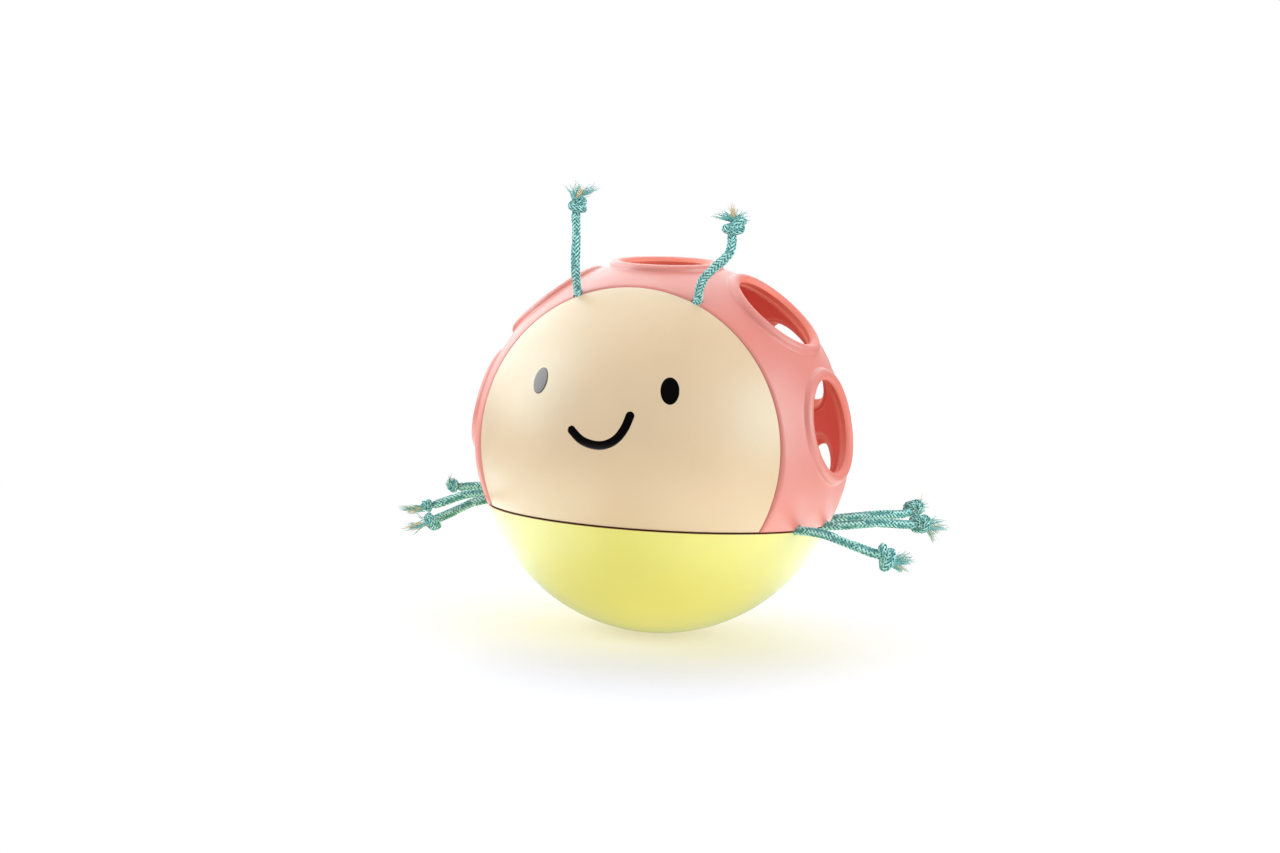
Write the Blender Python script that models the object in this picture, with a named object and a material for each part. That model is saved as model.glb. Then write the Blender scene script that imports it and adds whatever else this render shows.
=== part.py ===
"""Grasping ball: a weighted bowl and a smiling face shell that clamp a soft cage with ringed finger
holes, and eight knotted cords that stand out of the seams. Metres, +Z up, the face looks along -Y,
the origin is the middle of the flat foot under the bowl."""

import math

import bmesh
import bpy
from mathutils import Vector
from mathutils.geometry import delaunay_2d_cdt

# Driving sizes
GAP = 0.0003                 # clearance between neighbouring pieces
BOWL_RADIUS = 0.0570
BOWL_WALL = 0.0026
FOOT_RADIUS = 0.0065         # flat foot under the bowl
SEAM_DROP = 0.0186           # seam plane below the bowl's centre
CAGE_PROUD = 0.0012          # cage skin outside the bowl's
CAGE_WALL = 0.0021
CAGE_RISE = 0.0032           # cage and face centre above the bowl's centre
FACE_RECESS = 0.0004         # face skin inside the cage skin
FACE_WALL = 0.0026
FACE_FORWARD = 0.0318        # plane of the face's rim in front of the centre
FLANGE_THICK = 0.0018        # cage rim that the frame clamps
FLANGE_REACH = 0.0031        # the rim's reach inside the cage's inner skin

# Ringed holes in the cage: five in a front row, three in a back row, one behind, two small ones low down
HOLE_ANGLE = 14.0            # half angle of a hole's opening, seen from the ball's centre
SMALL_HOLE_ANGLE = 8.65
FRONT_LAND = 0.0030          # skin between two beads of each row
BACK_LAND = 0.0005
LOW_LAND = 0.0008            # skin between a small hole's bead and the seam
FRONT_ROW = 84.0             # angle of each row from the face's axis
BACK_ROW = 131.0
SMALL_HOLE_TURN = 46.2       # small holes' angle from the middle of the back
BEAD_TUBE = 0.0019           # radius of the bead round each hole
BEAD_HEIGHT = 0.0016         # top of the bead above the cage skin
BEAD_FILLET = 0.0010         # hollow corner at the bead's foot

# Inner frame, screws and ballast
FRAME_PLATE = 0.0022
FRAME_CLEARANCE = 0.0008     # frame's edge inside the cage
POST_RADIUS = 0.0035
BOWL_POST_INSET = 0.0138             # post's axis inside the frame's edge
FRONT_POST_BEHIND = 0.0058           # front posts' axis behind the frame's wall
BACK_POST_ANGLE = 50.0               # round the upright axis from the right; mirrored on the left
FACE_POST_ANGLES = (47.0, 102.0)     # round the face's axis from the top; mirrored on the left
FACE_POST_INSET = 0.0122
SCREW_SHANK = 0.0014
SCREW_LENGTH = 0.0095
SCREW_HEAD_RADIUS = 0.0028
SCREW_HEAD_HEIGHT = 0.0016
SCREW_SOCKET = 0.0011
SCREW_SOCKET_DEPTH = 0.0008
SCREW_ROUNDING = 0.0004
BALLAST_TOP = 0.0120
BALLAST_BOSS = 0.0040
BALLAST_EDGE = 0.0022        # ballast's upright edge inside the bowl's wall
BALLAST_CHAMFER = 0.0010
BALLAST_SCREW_HEAD = 0.0062

# Cords
CORD_RADIUS = 0.0015
LEG_LIFT = 0.00035           # leg cords above the seam plane
LEG_ANGLES = {"front": -20.0, "mid": 0.0, "back": 20.0}
ANTENNA_BEHIND_SEAM = 0.0010
ANTENNA_ANGLE = 22.9         # round the face's axis from the top
KNOT_RADIUS = 0.0033
KNOT_LENGTH = 0.0062
TUFT_RADIUS = 0.0030

# Sections of a knot and a tuft: share of the radius, share of the length
KNOT_SHAPE = [(0.0, 0.0), (0.20, 0.0), (0.65, 0.10), (1.0, 0.33), (0.90, 0.50), (1.0, 0.67), (0.65, 0.90),
              (0.20, 1.0), (0.0, 1.0)]
TUFT_SHAPE = [(0.0, 0.0), (0.15, 0.0), (0.45, 0.15), (0.80, 0.50), (1.0, 0.85), (0.85, 1.0), (0.0, 1.0)]

# Inner end of a cord: way inward, way aside into the hollow, and share of the cord's radius
ROUND_TIP = [(0.0, 0.0, 0.44), (0.4 * CORD_RADIUS, 0.0, 0.80), (CORD_RADIUS, 0.0, 1.0)]
LEG_STOP_END = ROUND_TIP + [(0.0070, 0.0, 1.0), (0.0096, 0.0010, 1.0), (0.0113, 0.0034, 1.0),
                            (0.0118, 0.0052, 1.45), (0.0120, 0.0066, 1.87), (0.0120, 0.0086, 1.65),
                            (0.0120, 0.0100, 0.70)]
ANTENNA_STOP_END = ROUND_TIP + [(0.0068, 0.0, 1.0), (0.0090, 0.0010, 1.0), (0.0112, 0.0028, 1.0),
                                (0.0123, 0.0038, 1.45), (0.0134, 0.0048, 1.87), (0.0148, 0.0060, 1.65),
                                (0.0158, 0.0068, 0.70)]
BORE_DEPTH = 0.0111          # bores in the seams for the cords, inside and outside the skin
BORE_REACH = 0.0044

# Cord routes in millimetres from where each cord leaves the shells: to the knot's middle, then the tuft's tip
ROUTES = {
    "antenna_left": [(0.1, -1.2, 2.4), (0.3, -3.3, 7.6), (0.2, -3.5, 12.3), (-0.6, -2.2, 18.0),
                     (-1.5, -1.3, 25.8), (-1.3, -0.6, 31.9)],
    "antenna_right": [(0.7, -1.4, 2.7), (2.3, -2.7, 6.2), (5.7, -3.3, 9.6), (8.5, -3.0, 12.2),
                      (10.0, -2.4, 15.4), (9.7, -1.0, 21.7), (8.6, -1.0, 27.2)],
    "leg_right_front": [(4.7, -1.5, 0.1), (9.4, -2.7, -0.2), (16.9, -4.1, -2.0), (24.7, -4.4, -4.1),
                        (27.9, -4.2, -5.4), (34.0, -2.8, -6.1)],
    "leg_right_mid": [(4.7, 0.4, 0.5), (9.2, 1.3, 1.2), (16.4, 3.8, 2.1), (24.1, 8.2, 1.9),
                      (27.3, 10.5, 1.7), (31.8, 14.5, 0.6)],
    "leg_right_back": [(4.4, 1.9, 0.8), (8.6, 4.5, 1.4), (14.9, 9.3, 2.1), (20.3, 14.4, 2.4),
                       (22.9, 17.8, 3.6), (26.5, 22.6, 5.0)],
    "leg_left_front": [(-3.6, -2.0, -1.2), (-6.2, -6.0, -3.0), (-8.3, -11.7, -4.7), (-9.9, -19.3, -6.2),
                       (-11.0, -25.4, -5.8)],
    "leg_left_mid": [(-4.8, -0.1, -0.1), (-10.8, -0.9, -1.0), (-14.1, -1.4, -2.0), (-18.8, -2.6, -4.1),
                     (-24.1, -4.2, -6.3), (-29.4, -6.3, -8.1)],
    "leg_left_back": [(-4.9, 1.4, -0.2), (-13.0, 2.0, -0.3), (-20.1, 1.3, -0.5), (-24.6, -0.1, -1.0),
                      (-28.6, -2.0, -1.4), (-31.4, -3.6, 1.2)],
}

# Facets
TURN_STEPS = 44
HOLE_STEPS = 20
ARCH_STEPS = 40              # points on the cage's rim, over the face and round the bowl
SWEEP_STEPS = 40
SCREW_STEPS = 10
KNOT_STEPS = 10
SKIN_STEP = 10.0             # degrees between points inside the cage's skin
SHARP_ANGLE = 35.0


def depth_on_sphere(radius, off_axis):
    """Distance of a sphere's surface from its centre plane, at a distance from the axis."""
    return math.sqrt(radius ** 2 - off_axis ** 2)


# Places that follow from the sizes
BOWL_CENTRE = depth_on_sphere(BOWL_RADIUS, FOOT_RADIUS)
SEAM_Z = BOWL_CENTRE - SEAM_DROP
CAGE_RADIUS = BOWL_RADIUS + CAGE_PROUD
HOLE_OPENING = CAGE_RADIUS * math.radians(HOLE_ANGLE)
SMALL_HOLE_OPENING = CAGE_RADIUS * math.radians(SMALL_HOLE_ANGLE)
BALL_CENTRE = Vector((0.0, 0.0, BOWL_CENTRE + CAGE_RISE))
FACE_RADIUS = CAGE_RADIUS - FACE_RECESS
RIM_Y = -FACE_FORWARD + GAP / 2          # front face of the cage's rim
RIM_Z = SEAM_Z + GAP / 2                 # underside of the cage's rim
WALL_Y = RIM_Y + FLANGE_THICK + GAP      # front face of the frame's wall
DECK_Z = RIM_Z + FLANGE_THICK + GAP      # underside of the frame's deck
CAGE_INSIDE = CAGE_RADIUS - CAGE_WALL
FRAME_RADIUS = depth_on_sphere(CAGE_INSIDE, DECK_Z - BALL_CENTRE.z) - FRAME_CLEARANCE
WALL_RADIUS = depth_on_sphere(CAGE_INSIDE, WALL_Y) - FRAME_CLEARANCE
LEG_Z = SEAM_Z + LEG_LIFT
BORE_RADIUS = CORD_RADIUS + GAP
SCREW_BORE = SCREW_SHANK + GAP

COLOURS = {
    "bowl": ((0.80, 0.72, 0.16), 0.42, 0.0),
    "face": ((0.75, 0.58, 0.37), 0.42, 0.0),
    "cage": ((0.82, 0.36, 0.31), 0.55, 0.0),
    "frame": ((0.80, 0.30, 0.25), 0.50, 0.0),
    "cord": ((0.09, 0.30, 0.29), 0.90, 0.0),
    "steel": ((0.55, 0.55, 0.56), 0.35, 1.0),
}


# Small helpers

def material(name):
    """The named finish, made on first use."""
    found = bpy.data.materials.get(name)
    if found:
        return found
    colour, roughness, metallic = COLOURS[name]
    made = bpy.data.materials.new(name)
    made.use_nodes = True
    shader = made.node_tree.nodes["Principled BSDF"]
    shader.inputs["Base Color"].default_value = (*colour, 1.0)
    shader.inputs["Roughness"].default_value = roughness
    shader.inputs["Metallic"].default_value = metallic
    return made


def add_object(name, data, finish):
    """Links a data block as an object with its own finish."""
    obj = bpy.data.objects.new(name, data)
    bpy.context.scene.collection.objects.link(obj)
    if finish:
        own = material(finish).copy()
        own.name = name + "_" + finish
        data.materials.append(own)
    return obj


def mesh_object(name, bm, finish):
    """Turns a closed bmesh into an object with its faces outward."""
    bmesh.ops.remove_doubles(bm, verts=bm.verts, dist=1e-7)
    bmesh.ops.recalc_face_normals(bm, faces=bm.faces)
    data = bpy.data.meshes.new(name)
    bm.to_mesh(data)
    bm.free()
    data.shade_smooth()
    data.set_sharp_from_angle(angle=math.radians(SHARP_ANGLE))
    return add_object(name, data, finish)


def arc(centre, radius, start, end, steps):
    """Points of an arc in a profile plane, angles in degrees from the first axis."""
    points = []
    for i in range(steps + 1):
        angle = math.radians(start + (end - start) * i / steps)
        points.append((centre[0] + radius * math.cos(angle), centre[1] + radius * math.sin(angle)))
    return points


def turned(profile, place, steps=TURN_STEPS, closed=False):
    """A solid of revolution; place maps (radius, height, angle) to a point. A closed profile is a ring's."""
    bm = bmesh.new()
    rings = []
    for radius, height in profile:
        if radius < 1e-9:
            rings.append([bm.verts.new(place(0.0, height, 0.0))])
            continue
        rings.append([bm.verts.new(place(radius, height, math.tau * i / steps)) for i in range(steps)])
    if closed:
        rings.append(rings[0])
    for low, high in zip(rings[:-1], rings[1:]):
        for i in range(steps):
            j = (i + 1) % steps
            corners = []
            for vert in (low[i % len(low)], low[j % len(low)], high[j % len(high)], high[i % len(high)]):
                if vert not in corners:
                    corners.append(vert)
            if len(corners) > 2:
                bm.faces.new(corners)
    return bm


def about_z(radius, height, angle):
    """Point on a solid turned about the bowl's vertical axis."""
    return (radius * math.cos(angle), radius * math.sin(angle), height)


def about_face_axis(radius, height, angle):
    """Point on a solid turned about the face's axis; height runs along +Y from the centre."""
    return (radius * math.sin(angle), height, BALL_CENTRE.z + radius * math.cos(angle))


def about_line(start, direction):
    """Placing function for a solid turned about any line."""
    turn = direction.to_track_quat("Z", "Y")

    def place(radius, height, angle):
        return start + turn @ Vector((radius * math.cos(angle), radius * math.sin(angle), height))
    return place


def boolean(target, tools, operation):
    """Adds one Boolean per tool; the tools stay as hidden guides."""
    for tool in tools:
        tool.hide_render = True
        tool.display_type = "WIRE"
        step = target.modifiers.new(operation.lower() + "_" + tool.name, "BOOLEAN")
        step.operation = operation
        step.object = tool


def rods(name, lines, radius, steps=16):
    """Plain round guide solids along lines, joined in one object, used as cutters or posts."""
    whole = bpy.data.meshes.new(name)
    bm = bmesh.new()
    for start, end in lines:
        length = (end - start).length
        profile = [(0.0, 0.0), (radius, 0.0), (radius, length), (0.0, length)]
        piece = turned(profile, about_line(start, end - start), steps)
        piece.to_mesh(whole)
        piece.free()
        bm.from_mesh(whole)
    bpy.data.meshes.remove(whole)
    return mesh_object(name, bm, None)


def mirrored(items):
    """Each (x, other) pair on the right, then on the left."""
    return [(side * x, other) for x, other in items for side in (1, -1)]


def on_circle(radius, angles):
    """Places on a circle at angles in degrees, as (along, across) the axis the angles start from."""
    return [(radius * math.cos(math.radians(a)), radius * math.sin(math.radians(a))) for a in angles]


# Cord lines

def smooth_line(points, spacing):
    """Even points on a smooth curve through the route's own points."""
    knots = [Vector(p) for p in points]
    padded = [2 * knots[0] - knots[1], *knots, 2 * knots[-1] - knots[-2]]
    fine = []
    for i in range(1, len(padded) - 2):
        a, b, c, d = padded[i - 1:i + 3]
        for k in range(20):
            t = k / 20
            fine.append(0.5 * (2 * b + (c - a) * t + (2 * a - 5 * b + 4 * c - d) * t ** 2
                               + (3 * b - a - 3 * c + d) * t ** 3))
    fine.append(knots[-1])
    lengths = [0.0]
    for a, b in zip(fine[:-1], fine[1:]):
        lengths.append(lengths[-1] + (b - a).length)
    count = max(2, round(lengths[-1] / spacing))
    line = []
    k = 0
    for i in range(count + 1):
        want = lengths[-1] * i / count
        while k < len(fine) - 2 and lengths[k + 1] < want:
            k += 1
        share = (want - lengths[k]) / max(lengths[k + 1] - lengths[k], 1e-12)
        line.append(fine[k].lerp(fine[k + 1], min(share, 1.0)))
    return line


def tube(name, points, radii, origin, finish):
    """A cord as a bevelled open curve with filled caps; radii are shares of the cord's radius."""
    data = bpy.data.curves.new(name, "CURVE")
    data.dimensions = "3D"
    data.bevel_depth = CORD_RADIUS
    data.bevel_resolution = 2
    data.use_fill_caps = True
    spline = data.splines.new("POLY")
    spline.points.add(len(points) - 1)
    for target, point, radius in zip(spline.points, points, radii):
        target.co = (*(point - origin), 1.0)
        target.radius = radius
    obj = add_object(name, data, finish)
    obj.location = origin
    return obj


# Cage

def direction(polar, round_angle):
    """Unit vector at an angle from the face's axis (-Y) and an angle round it from the top."""
    p, r = math.radians(polar), math.radians(round_angle)
    return Vector((math.sin(p) * math.sin(r), -math.cos(p), math.sin(p) * math.cos(r)))


def bead_foot(opening):
    """Distance along the skin from a hole's axis to the foot of its bead."""
    fall = BEAD_FILLET + BEAD_TUBE - BEAD_HEIGHT
    return opening + BEAD_TUBE + depth_on_sphere(BEAD_TUBE + BEAD_FILLET, fall)


def row_of_holes(row, land, places):
    """Axes of a row's holes, counted from the top, with the land between their beads."""
    half = (bead_foot(HOLE_OPENING) + land / 2) / CAGE_RADIUS
    pitch = 2 * math.degrees(math.asin(math.sin(half) / math.sin(math.radians(row))))
    return [direction(row, pitch * place) for place in places]


def all_holes():
    """Every hole as (unit axis, opening radius)."""
    axes = row_of_holes(FRONT_ROW, FRONT_LAND, (-2, -1, 0, 1, 2))
    axes += row_of_holes(BACK_ROW, BACK_LAND, (-1, 0, 1))
    axes.append(Vector((0, 1, 0)))
    holes = [(axis, HOLE_OPENING) for axis in axes]
    seam = math.asin((RIM_Z - BALL_CENTRE.z) / CAGE_RADIUS)
    low = seam + (bead_foot(SMALL_HOLE_OPENING) + LOW_LAND) / CAGE_RADIUS
    turn = math.radians(SMALL_HOLE_TURN)
    for side in (1, -1):
        level = Vector((side * math.sin(turn), math.cos(turn), 0))
        holes.append((level * math.cos(low) + Vector((0, 0, math.sin(low))), SMALL_HOLE_OPENING))
    return holes


def bead_profile(opening):
    """Section of a hole's bead as (distance from the hole's axis along the skin, height over the skin)."""
    centre = opening + BEAD_TUBE
    middle = BEAD_HEIGHT - BEAD_TUBE
    foot = bead_foot(opening)
    lean = math.degrees(math.atan2(BEAD_FILLET - middle, foot - centre))
    points = arc((foot, BEAD_FILLET), BEAD_FILLET, 270, 180 + lean, 2)
    points += arc((centre, middle), BEAD_TUBE, lean, 180, 5)[1:]
    points += [(opening, -CAGE_WALL * 0.55), (opening + CAGE_WALL * 0.4, -CAGE_WALL)]
    return points


def ring(axis, distance, height):
    """Ring of points round a hole's axis at a distance along the skin and a height over it."""
    angle = distance / CAGE_RADIUS
    side = axis.orthogonal().normalized()
    other = axis.cross(side)
    points = []
    for i in range(HOLE_STEPS):
        turn = math.tau * i / HOLE_STEPS
        across = side * math.cos(turn) + other * math.sin(turn)
        points.append((CAGE_RADIUS + height) * (axis * math.cos(angle) + across * math.sin(angle)))
    return points


def rim_loop(front, low, front_radius, low_radius):
    """Closed rim about the ball's centre: an arch in the plane y = front, then a sweep round the back
    in the plane z = low; the two radii are those of the arch and of the sweep."""
    down = low - BALL_CENTRE.z
    arch_end = math.acos(down / front_radius)
    sweep_start = math.asin(front / low_radius)
    loop = []
    for i in range(ARCH_STEPS):
        angle = -arch_end + 2 * arch_end * i / ARCH_STEPS
        loop.append(Vector((front_radius * math.sin(angle), front, front_radius * math.cos(angle))))
    for i in range(SWEEP_STEPS):
        angle = sweep_start + (math.pi - 2 * sweep_start) * i / SWEEP_STEPS
        loop.append(Vector((low_radius * math.cos(angle), low_radius * math.sin(angle), down)))
    return loop


def skin(bm, radius, rim, rings, front, low):
    """Fills a spherical skin between its rim and the hole rings with flat triangles."""
    def flat(p):
        unit = p / p.length
        return Vector((unit.x, unit.z)) / (1 + unit.y)

    def lifted(q):
        s = q.length_squared
        return radius * Vector((2 * q.x, 1 - s, 2 * q.y)) / (1 + s)

    loops = [rim, *rings]
    points = [vert.co - BALL_CENTRE for loop in loops for vert in loop]
    verts = [vert for loop in loops for vert in loop]
    edges = []
    start = 0
    for loop in loops:
        edges += [(start + i, start + (i + 1) % len(loop)) for i in range(len(loop))]
        start += len(loop)
    discs = []
    for loop in rings:
        axis = sum((vert.co - BALL_CENTRE for vert in loop), Vector()).normalized()
        discs.append((axis, axis.angle(loop[0].co - BALL_CENTRE)))

    clear = math.radians(SKIN_STEP) * 0.55
    bands = round(180 / SKIN_STEP)
    for band in range(1, bands):
        polar = 180 * band / bands
        count = max(1, round(360 * math.sin(math.radians(polar)) / SKIN_STEP))
        for i in range(count):
            spot = direction(polar, 360 * (i + 0.5 * (band % 2)) / count)
            inside = spot.y * radius > front + clear * radius and spot.z * radius > low + clear * radius
            if inside and all(spot.angle(axis) > size + clear for axis, size in discs):
                points.append(spot * radius)
    result = delaunay_2d_cdt([flat(p) for p in points], edges, [], 1, 1e-7)
    places, triangles, sources = result[0], result[2], result[3]
    made = []
    for place, source in zip(places, sources):
        known = [i for i in source if i < len(verts)]
        made.append(verts[known[0]] if known else bm.verts.new(BALL_CENTRE + lifted(place)))
    for triangle in triangles:
        middle = sum((made[i].co - BALL_CENTRE for i in triangle), Vector()).normalized()
        if all(middle.angle(axis) > size * 0.99 for axis, size in discs):
            bm.faces.new([made[i] for i in triangle])


def bridge(bm, first, second):
    """Quads between two closed loops of equal length."""
    count = len(first)
    for i in range(count):
        j = (i + 1) % count
        bm.faces.new((first[i], first[j], second[j], second[i]))


def build_cage(bores):
    """Soft cage: two skins, a beaded wall round each hole and a clamped flange round the rim."""
    bm = bmesh.new()
    back_y = RIM_Y + FLANGE_THICK
    top_z = RIM_Z + FLANGE_THICK
    drop = RIM_Z - BALL_CENTRE.z
    top_drop = top_z - BALL_CENTRE.z
    arch_radius = depth_on_sphere(CAGE_INSIDE, back_y) - FLANGE_REACH
    sweep_radius = math.sqrt(arch_radius ** 2 - drop ** 2 + RIM_Y ** 2)
    back_radius = math.sqrt(sweep_radius ** 2 - back_y ** 2 + top_drop ** 2)
    sections = [
        (RIM_Y, RIM_Z, depth_on_sphere(CAGE_RADIUS, RIM_Y), depth_on_sphere(CAGE_RADIUS, drop)),
        (RIM_Y, RIM_Z, arch_radius, sweep_radius),
        (back_y, top_z, back_radius, sweep_radius),
        (back_y, top_z, depth_on_sphere(CAGE_INSIDE, back_y), depth_on_sphere(CAGE_INSIDE, top_drop)),
    ]
    rims = [[bm.verts.new(BALL_CENTRE + p) for p in rim_loop(*section)] for section in sections]
    outer_rings = []
    inner_rings = []
    for axis, opening in all_holes():
        loops = []
        for distance, height in bead_profile(opening):
            loops.append([bm.verts.new(BALL_CENTRE + p) for p in ring(axis, distance, height)])
        for first, second in zip(loops[:-1], loops[1:]):
            bridge(bm, first, second)
        outer_rings.append(loops[0])
        inner_rings.append(loops[-1])
    for first, second in zip(rims[:-1], rims[1:]):
        bridge(bm, first, second)
    skin(bm, CAGE_RADIUS, rims[0], outer_rings, RIM_Y, drop)
    skin(bm, CAGE_INSIDE, rims[-1], inner_rings, back_y, top_drop)
    boolean(mesh_object("cage", bm, "cage"), [bores], "DIFFERENCE")


# Bowl and ballast

def bowl_post_places():
    """Places of the bowl's screw posts as (x, y)."""
    reach = FRAME_RADIUS - BOWL_POST_INSET
    front = WALL_Y + FRAME_PLATE + FRONT_POST_BEHIND
    return mirrored([(depth_on_sphere(reach, front), front), *on_circle(reach, [BACK_POST_ANGLE])])


def bowl_post_lines(low, high):
    """Vertical lines through the bowl's screw posts."""
    return [(Vector((x, y, low)), Vector((x, y, high))) for x, y in bowl_post_places()]


def build_bowl(bores):
    """Bowl with a flat foot, a boss for the ballast and four screw posts."""
    rim = SEAM_Z - GAP / 2
    inner = BOWL_RADIUS - BOWL_WALL
    boss_top = BALLAST_TOP - GAP
    foot_angle = -math.degrees(math.asin(BOWL_CENTRE / BOWL_RADIUS))
    rim_angle = math.degrees(math.asin((rim - BOWL_CENTRE) / BOWL_RADIUS))
    inner_rim_angle = math.degrees(math.asin((rim - BOWL_CENTRE) / inner))
    boss_angle = -math.degrees(math.acos(BALLAST_BOSS / inner))
    profile = [(0.0, 0.0)]
    profile += arc((0.0, BOWL_CENTRE), BOWL_RADIUS, foot_angle, rim_angle, 10)
    profile += arc((0.0, BOWL_CENTRE), inner, inner_rim_angle, boss_angle, 7)
    profile += [(BALLAST_BOSS, boss_top), (SCREW_BORE, boss_top), (SCREW_BORE, BOWL_WALL), (0.0, BOWL_WALL)]
    bowl = mesh_object("base_bowl", turned(profile, about_z), "bowl")
    post_top = DECK_Z - GAP
    lines = []
    for start, end in bowl_post_lines(0.0, post_top):
        start.z = BOWL_CENTRE - depth_on_sphere(BOWL_RADIUS - BOWL_WALL / 2, start.xy.length + POST_RADIUS)
        lines.append((start, end))
    posts = rods("bowl_post_guides", lines, POST_RADIUS)
    lines = bowl_post_lines(post_top - SCREW_LENGTH, post_top + FRAME_PLATE)
    holes = rods("bowl_bore_guides", lines, SCREW_BORE)
    boolean(bowl, [posts], "UNION")
    boolean(bowl, [holes, bores], "DIFFERENCE")


def build_ballast():
    """Steel disc that follows the bowl's inside, and the screw that holds it on the boss."""
    radius = BOWL_RADIUS - BOWL_WALL - GAP
    hole = BALLAST_BOSS + GAP
    edge = depth_on_sphere(radius, BOWL_CENTRE - BALLAST_TOP) - BALLAST_EDGE
    start = -math.degrees(math.acos(hole / radius))
    end = -math.degrees(math.acos(edge / radius))
    profile = arc((0.0, BOWL_CENTRE), radius, start, end, 5)
    chamfered = edge - BALLAST_CHAMFER
    profile += [(edge, BALLAST_TOP - BALLAST_CHAMFER), (chamfered, BALLAST_TOP), (hole, BALLAST_TOP)]
    mesh_object("ballast_disc", turned(profile, about_z, closed=True), "steel")
    seat = Vector((0.0, 0.0, BALLAST_TOP + GAP))
    reach = BALLAST_TOP - BOWL_WALL - GAP
    build_screw("ballast_screw", seat, Vector((0, 0, -1)), reach, BALLAST_SCREW_HEAD)


def build_screw(name, seat, into, length, head_radius=SCREW_HEAD_RADIUS):
    """Pan-head screw with a round drive socket; seat is under its head."""
    top = -SCREW_HEAD_HEIGHT
    bottom = top + SCREW_SOCKET_DEPTH
    profile = [(0.0, bottom), (SCREW_SOCKET, bottom), (SCREW_SOCKET, top),
               (head_radius - SCREW_ROUNDING, top), (head_radius, top + SCREW_ROUNDING), (head_radius, 0.0),
               (SCREW_SHANK, 0.0), (SCREW_SHANK, length - SCREW_SHANK), (0.0, length)]
    mesh_object(name, turned(profile, about_line(seat, into), SCREW_STEPS), "steel")


# Face and inner frame

def face_post_places():
    """Places of the face's screw posts as (x, z)."""
    places = on_circle(WALL_RADIUS - FACE_POST_INSET, FACE_POST_ANGLES)
    return mirrored([(aside, BALL_CENTRE.z + up) for up, aside in places])


def face_post_lines(front, back):
    """Lines along the face's axis through its screw posts."""
    return [(Vector((x, front, z)), Vector((x, back, z))) for x, z in face_post_places()]


def build_face(bores):
    """Face shell: a spherical cap cut level at the seam, with four screw posts inside."""
    rim = -FACE_FORWARD - GAP / 2
    inner = FACE_RADIUS - FACE_WALL
    rim_angle = math.degrees(math.asin(rim / FACE_RADIUS))
    inner_angle = math.degrees(math.asin(rim / inner))
    profile = arc((0.0, 0.0), FACE_RADIUS, -90.0, rim_angle, 8)
    profile += arc((0.0, 0.0), inner, inner_angle, -90.0, 6)
    bm = turned(profile, about_face_axis)
    bmesh.ops.remove_doubles(bm, verts=bm.verts, dist=1e-7)
    everything = list(bm.verts) + list(bm.edges) + list(bm.faces)
    cut = bmesh.ops.bisect_plane(bm, geom=everything, dist=1e-7, plane_co=(0, 0, RIM_Z),
                                 plane_no=(0, 0, -1), clear_outer=True)
    edges = [item for item in cut["geom_cut"] if isinstance(item, bmesh.types.BMEdge)]
    bmesh.ops.edgeloop_fill(bm, edges=edges)
    face = mesh_object("face_shell", bm, "face")
    post_back = WALL_Y - GAP
    lines = []
    for start, end in face_post_lines(0.0, post_back):
        off_axis = (start - BALL_CENTRE).xz.length + POST_RADIUS
        start.y = -depth_on_sphere(FACE_RADIUS - FACE_WALL / 2, off_axis)
        lines.append((start, end))
    posts = rods("face_post_guides", lines, POST_RADIUS)
    lines = face_post_lines(post_back - SCREW_LENGTH, post_back + FRAME_PLATE)
    holes = rods("face_bore_guides", lines, SCREW_BORE)
    boolean(face, [posts], "UNION")
    boolean(face, [holes, bores], "DIFFERENCE")


def plate(name, outline, normal, finish):
    """A flat plate of the frame's thickness from an outline of points."""
    bm = bmesh.new()
    front = bm.faces.new([bm.verts.new(point) for point in outline])
    moved = bmesh.ops.extrude_face_region(bm, geom=[front])["geom"]
    verts = [item for item in moved if isinstance(item, bmesh.types.BMVert)]
    bmesh.ops.translate(bm, verts=verts, vec=normal * FRAME_PLATE)
    return mesh_object(name, bm, finish)


def build_frame(bores):
    """Frame: a deck over the bowl and a wall behind the face, in one piece, with its eight screws."""
    overlap = FRAME_PLATE / 2
    deck_front = WALL_Y + overlap
    wall_low = DECK_Z + overlap
    start = math.asin(deck_front / FRAME_RADIUS)
    outline = []
    for i in range(TURN_STEPS + 1):
        angle = start + (math.pi - 2 * start) * i / TURN_STEPS
        outline.append((FRAME_RADIUS * math.cos(angle), FRAME_RADIUS * math.sin(angle), DECK_Z))
    frame = plate("inner_frame", outline, Vector((0, 0, 1)), "frame")
    end = math.acos((wall_low - BALL_CENTRE.z) / WALL_RADIUS)
    outline = []
    for i in range(TURN_STEPS + 1):
        angle = -end + 2 * end * i / TURN_STEPS
        outline.append(about_face_axis(WALL_RADIUS, WALL_Y, angle))
    wall = plate("frame_wall_guide", outline, Vector((0, 1, 0)), None)
    deck_top = DECK_Z + FRAME_PLATE
    wall_back = WALL_Y + FRAME_PLATE
    lines = bowl_post_lines(DECK_Z - GAP, deck_top + GAP) + face_post_lines(WALL_Y - GAP, wall_back + GAP)
    holes = rods("frame_bore_guides", lines, SCREW_BORE)
    boolean(frame, [wall], "UNION")
    boolean(frame, [holes, bores], "DIFFERENCE")
    reach = SCREW_LENGTH + FRAME_PLATE - GAP
    for i, (x, y) in enumerate(bowl_post_places()):
        seat = Vector((x, y, deck_top + GAP))
        build_screw(f"bowl_screw_{i + 1}", seat, Vector((0, 0, -1)), reach)
    for i, (x, z) in enumerate(face_post_places()):
        seat = Vector((x, wall_back + GAP, z))
        build_screw(f"face_screw_{i + 1}", seat, Vector((0, -1, 0)), reach)


# Cords

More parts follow.
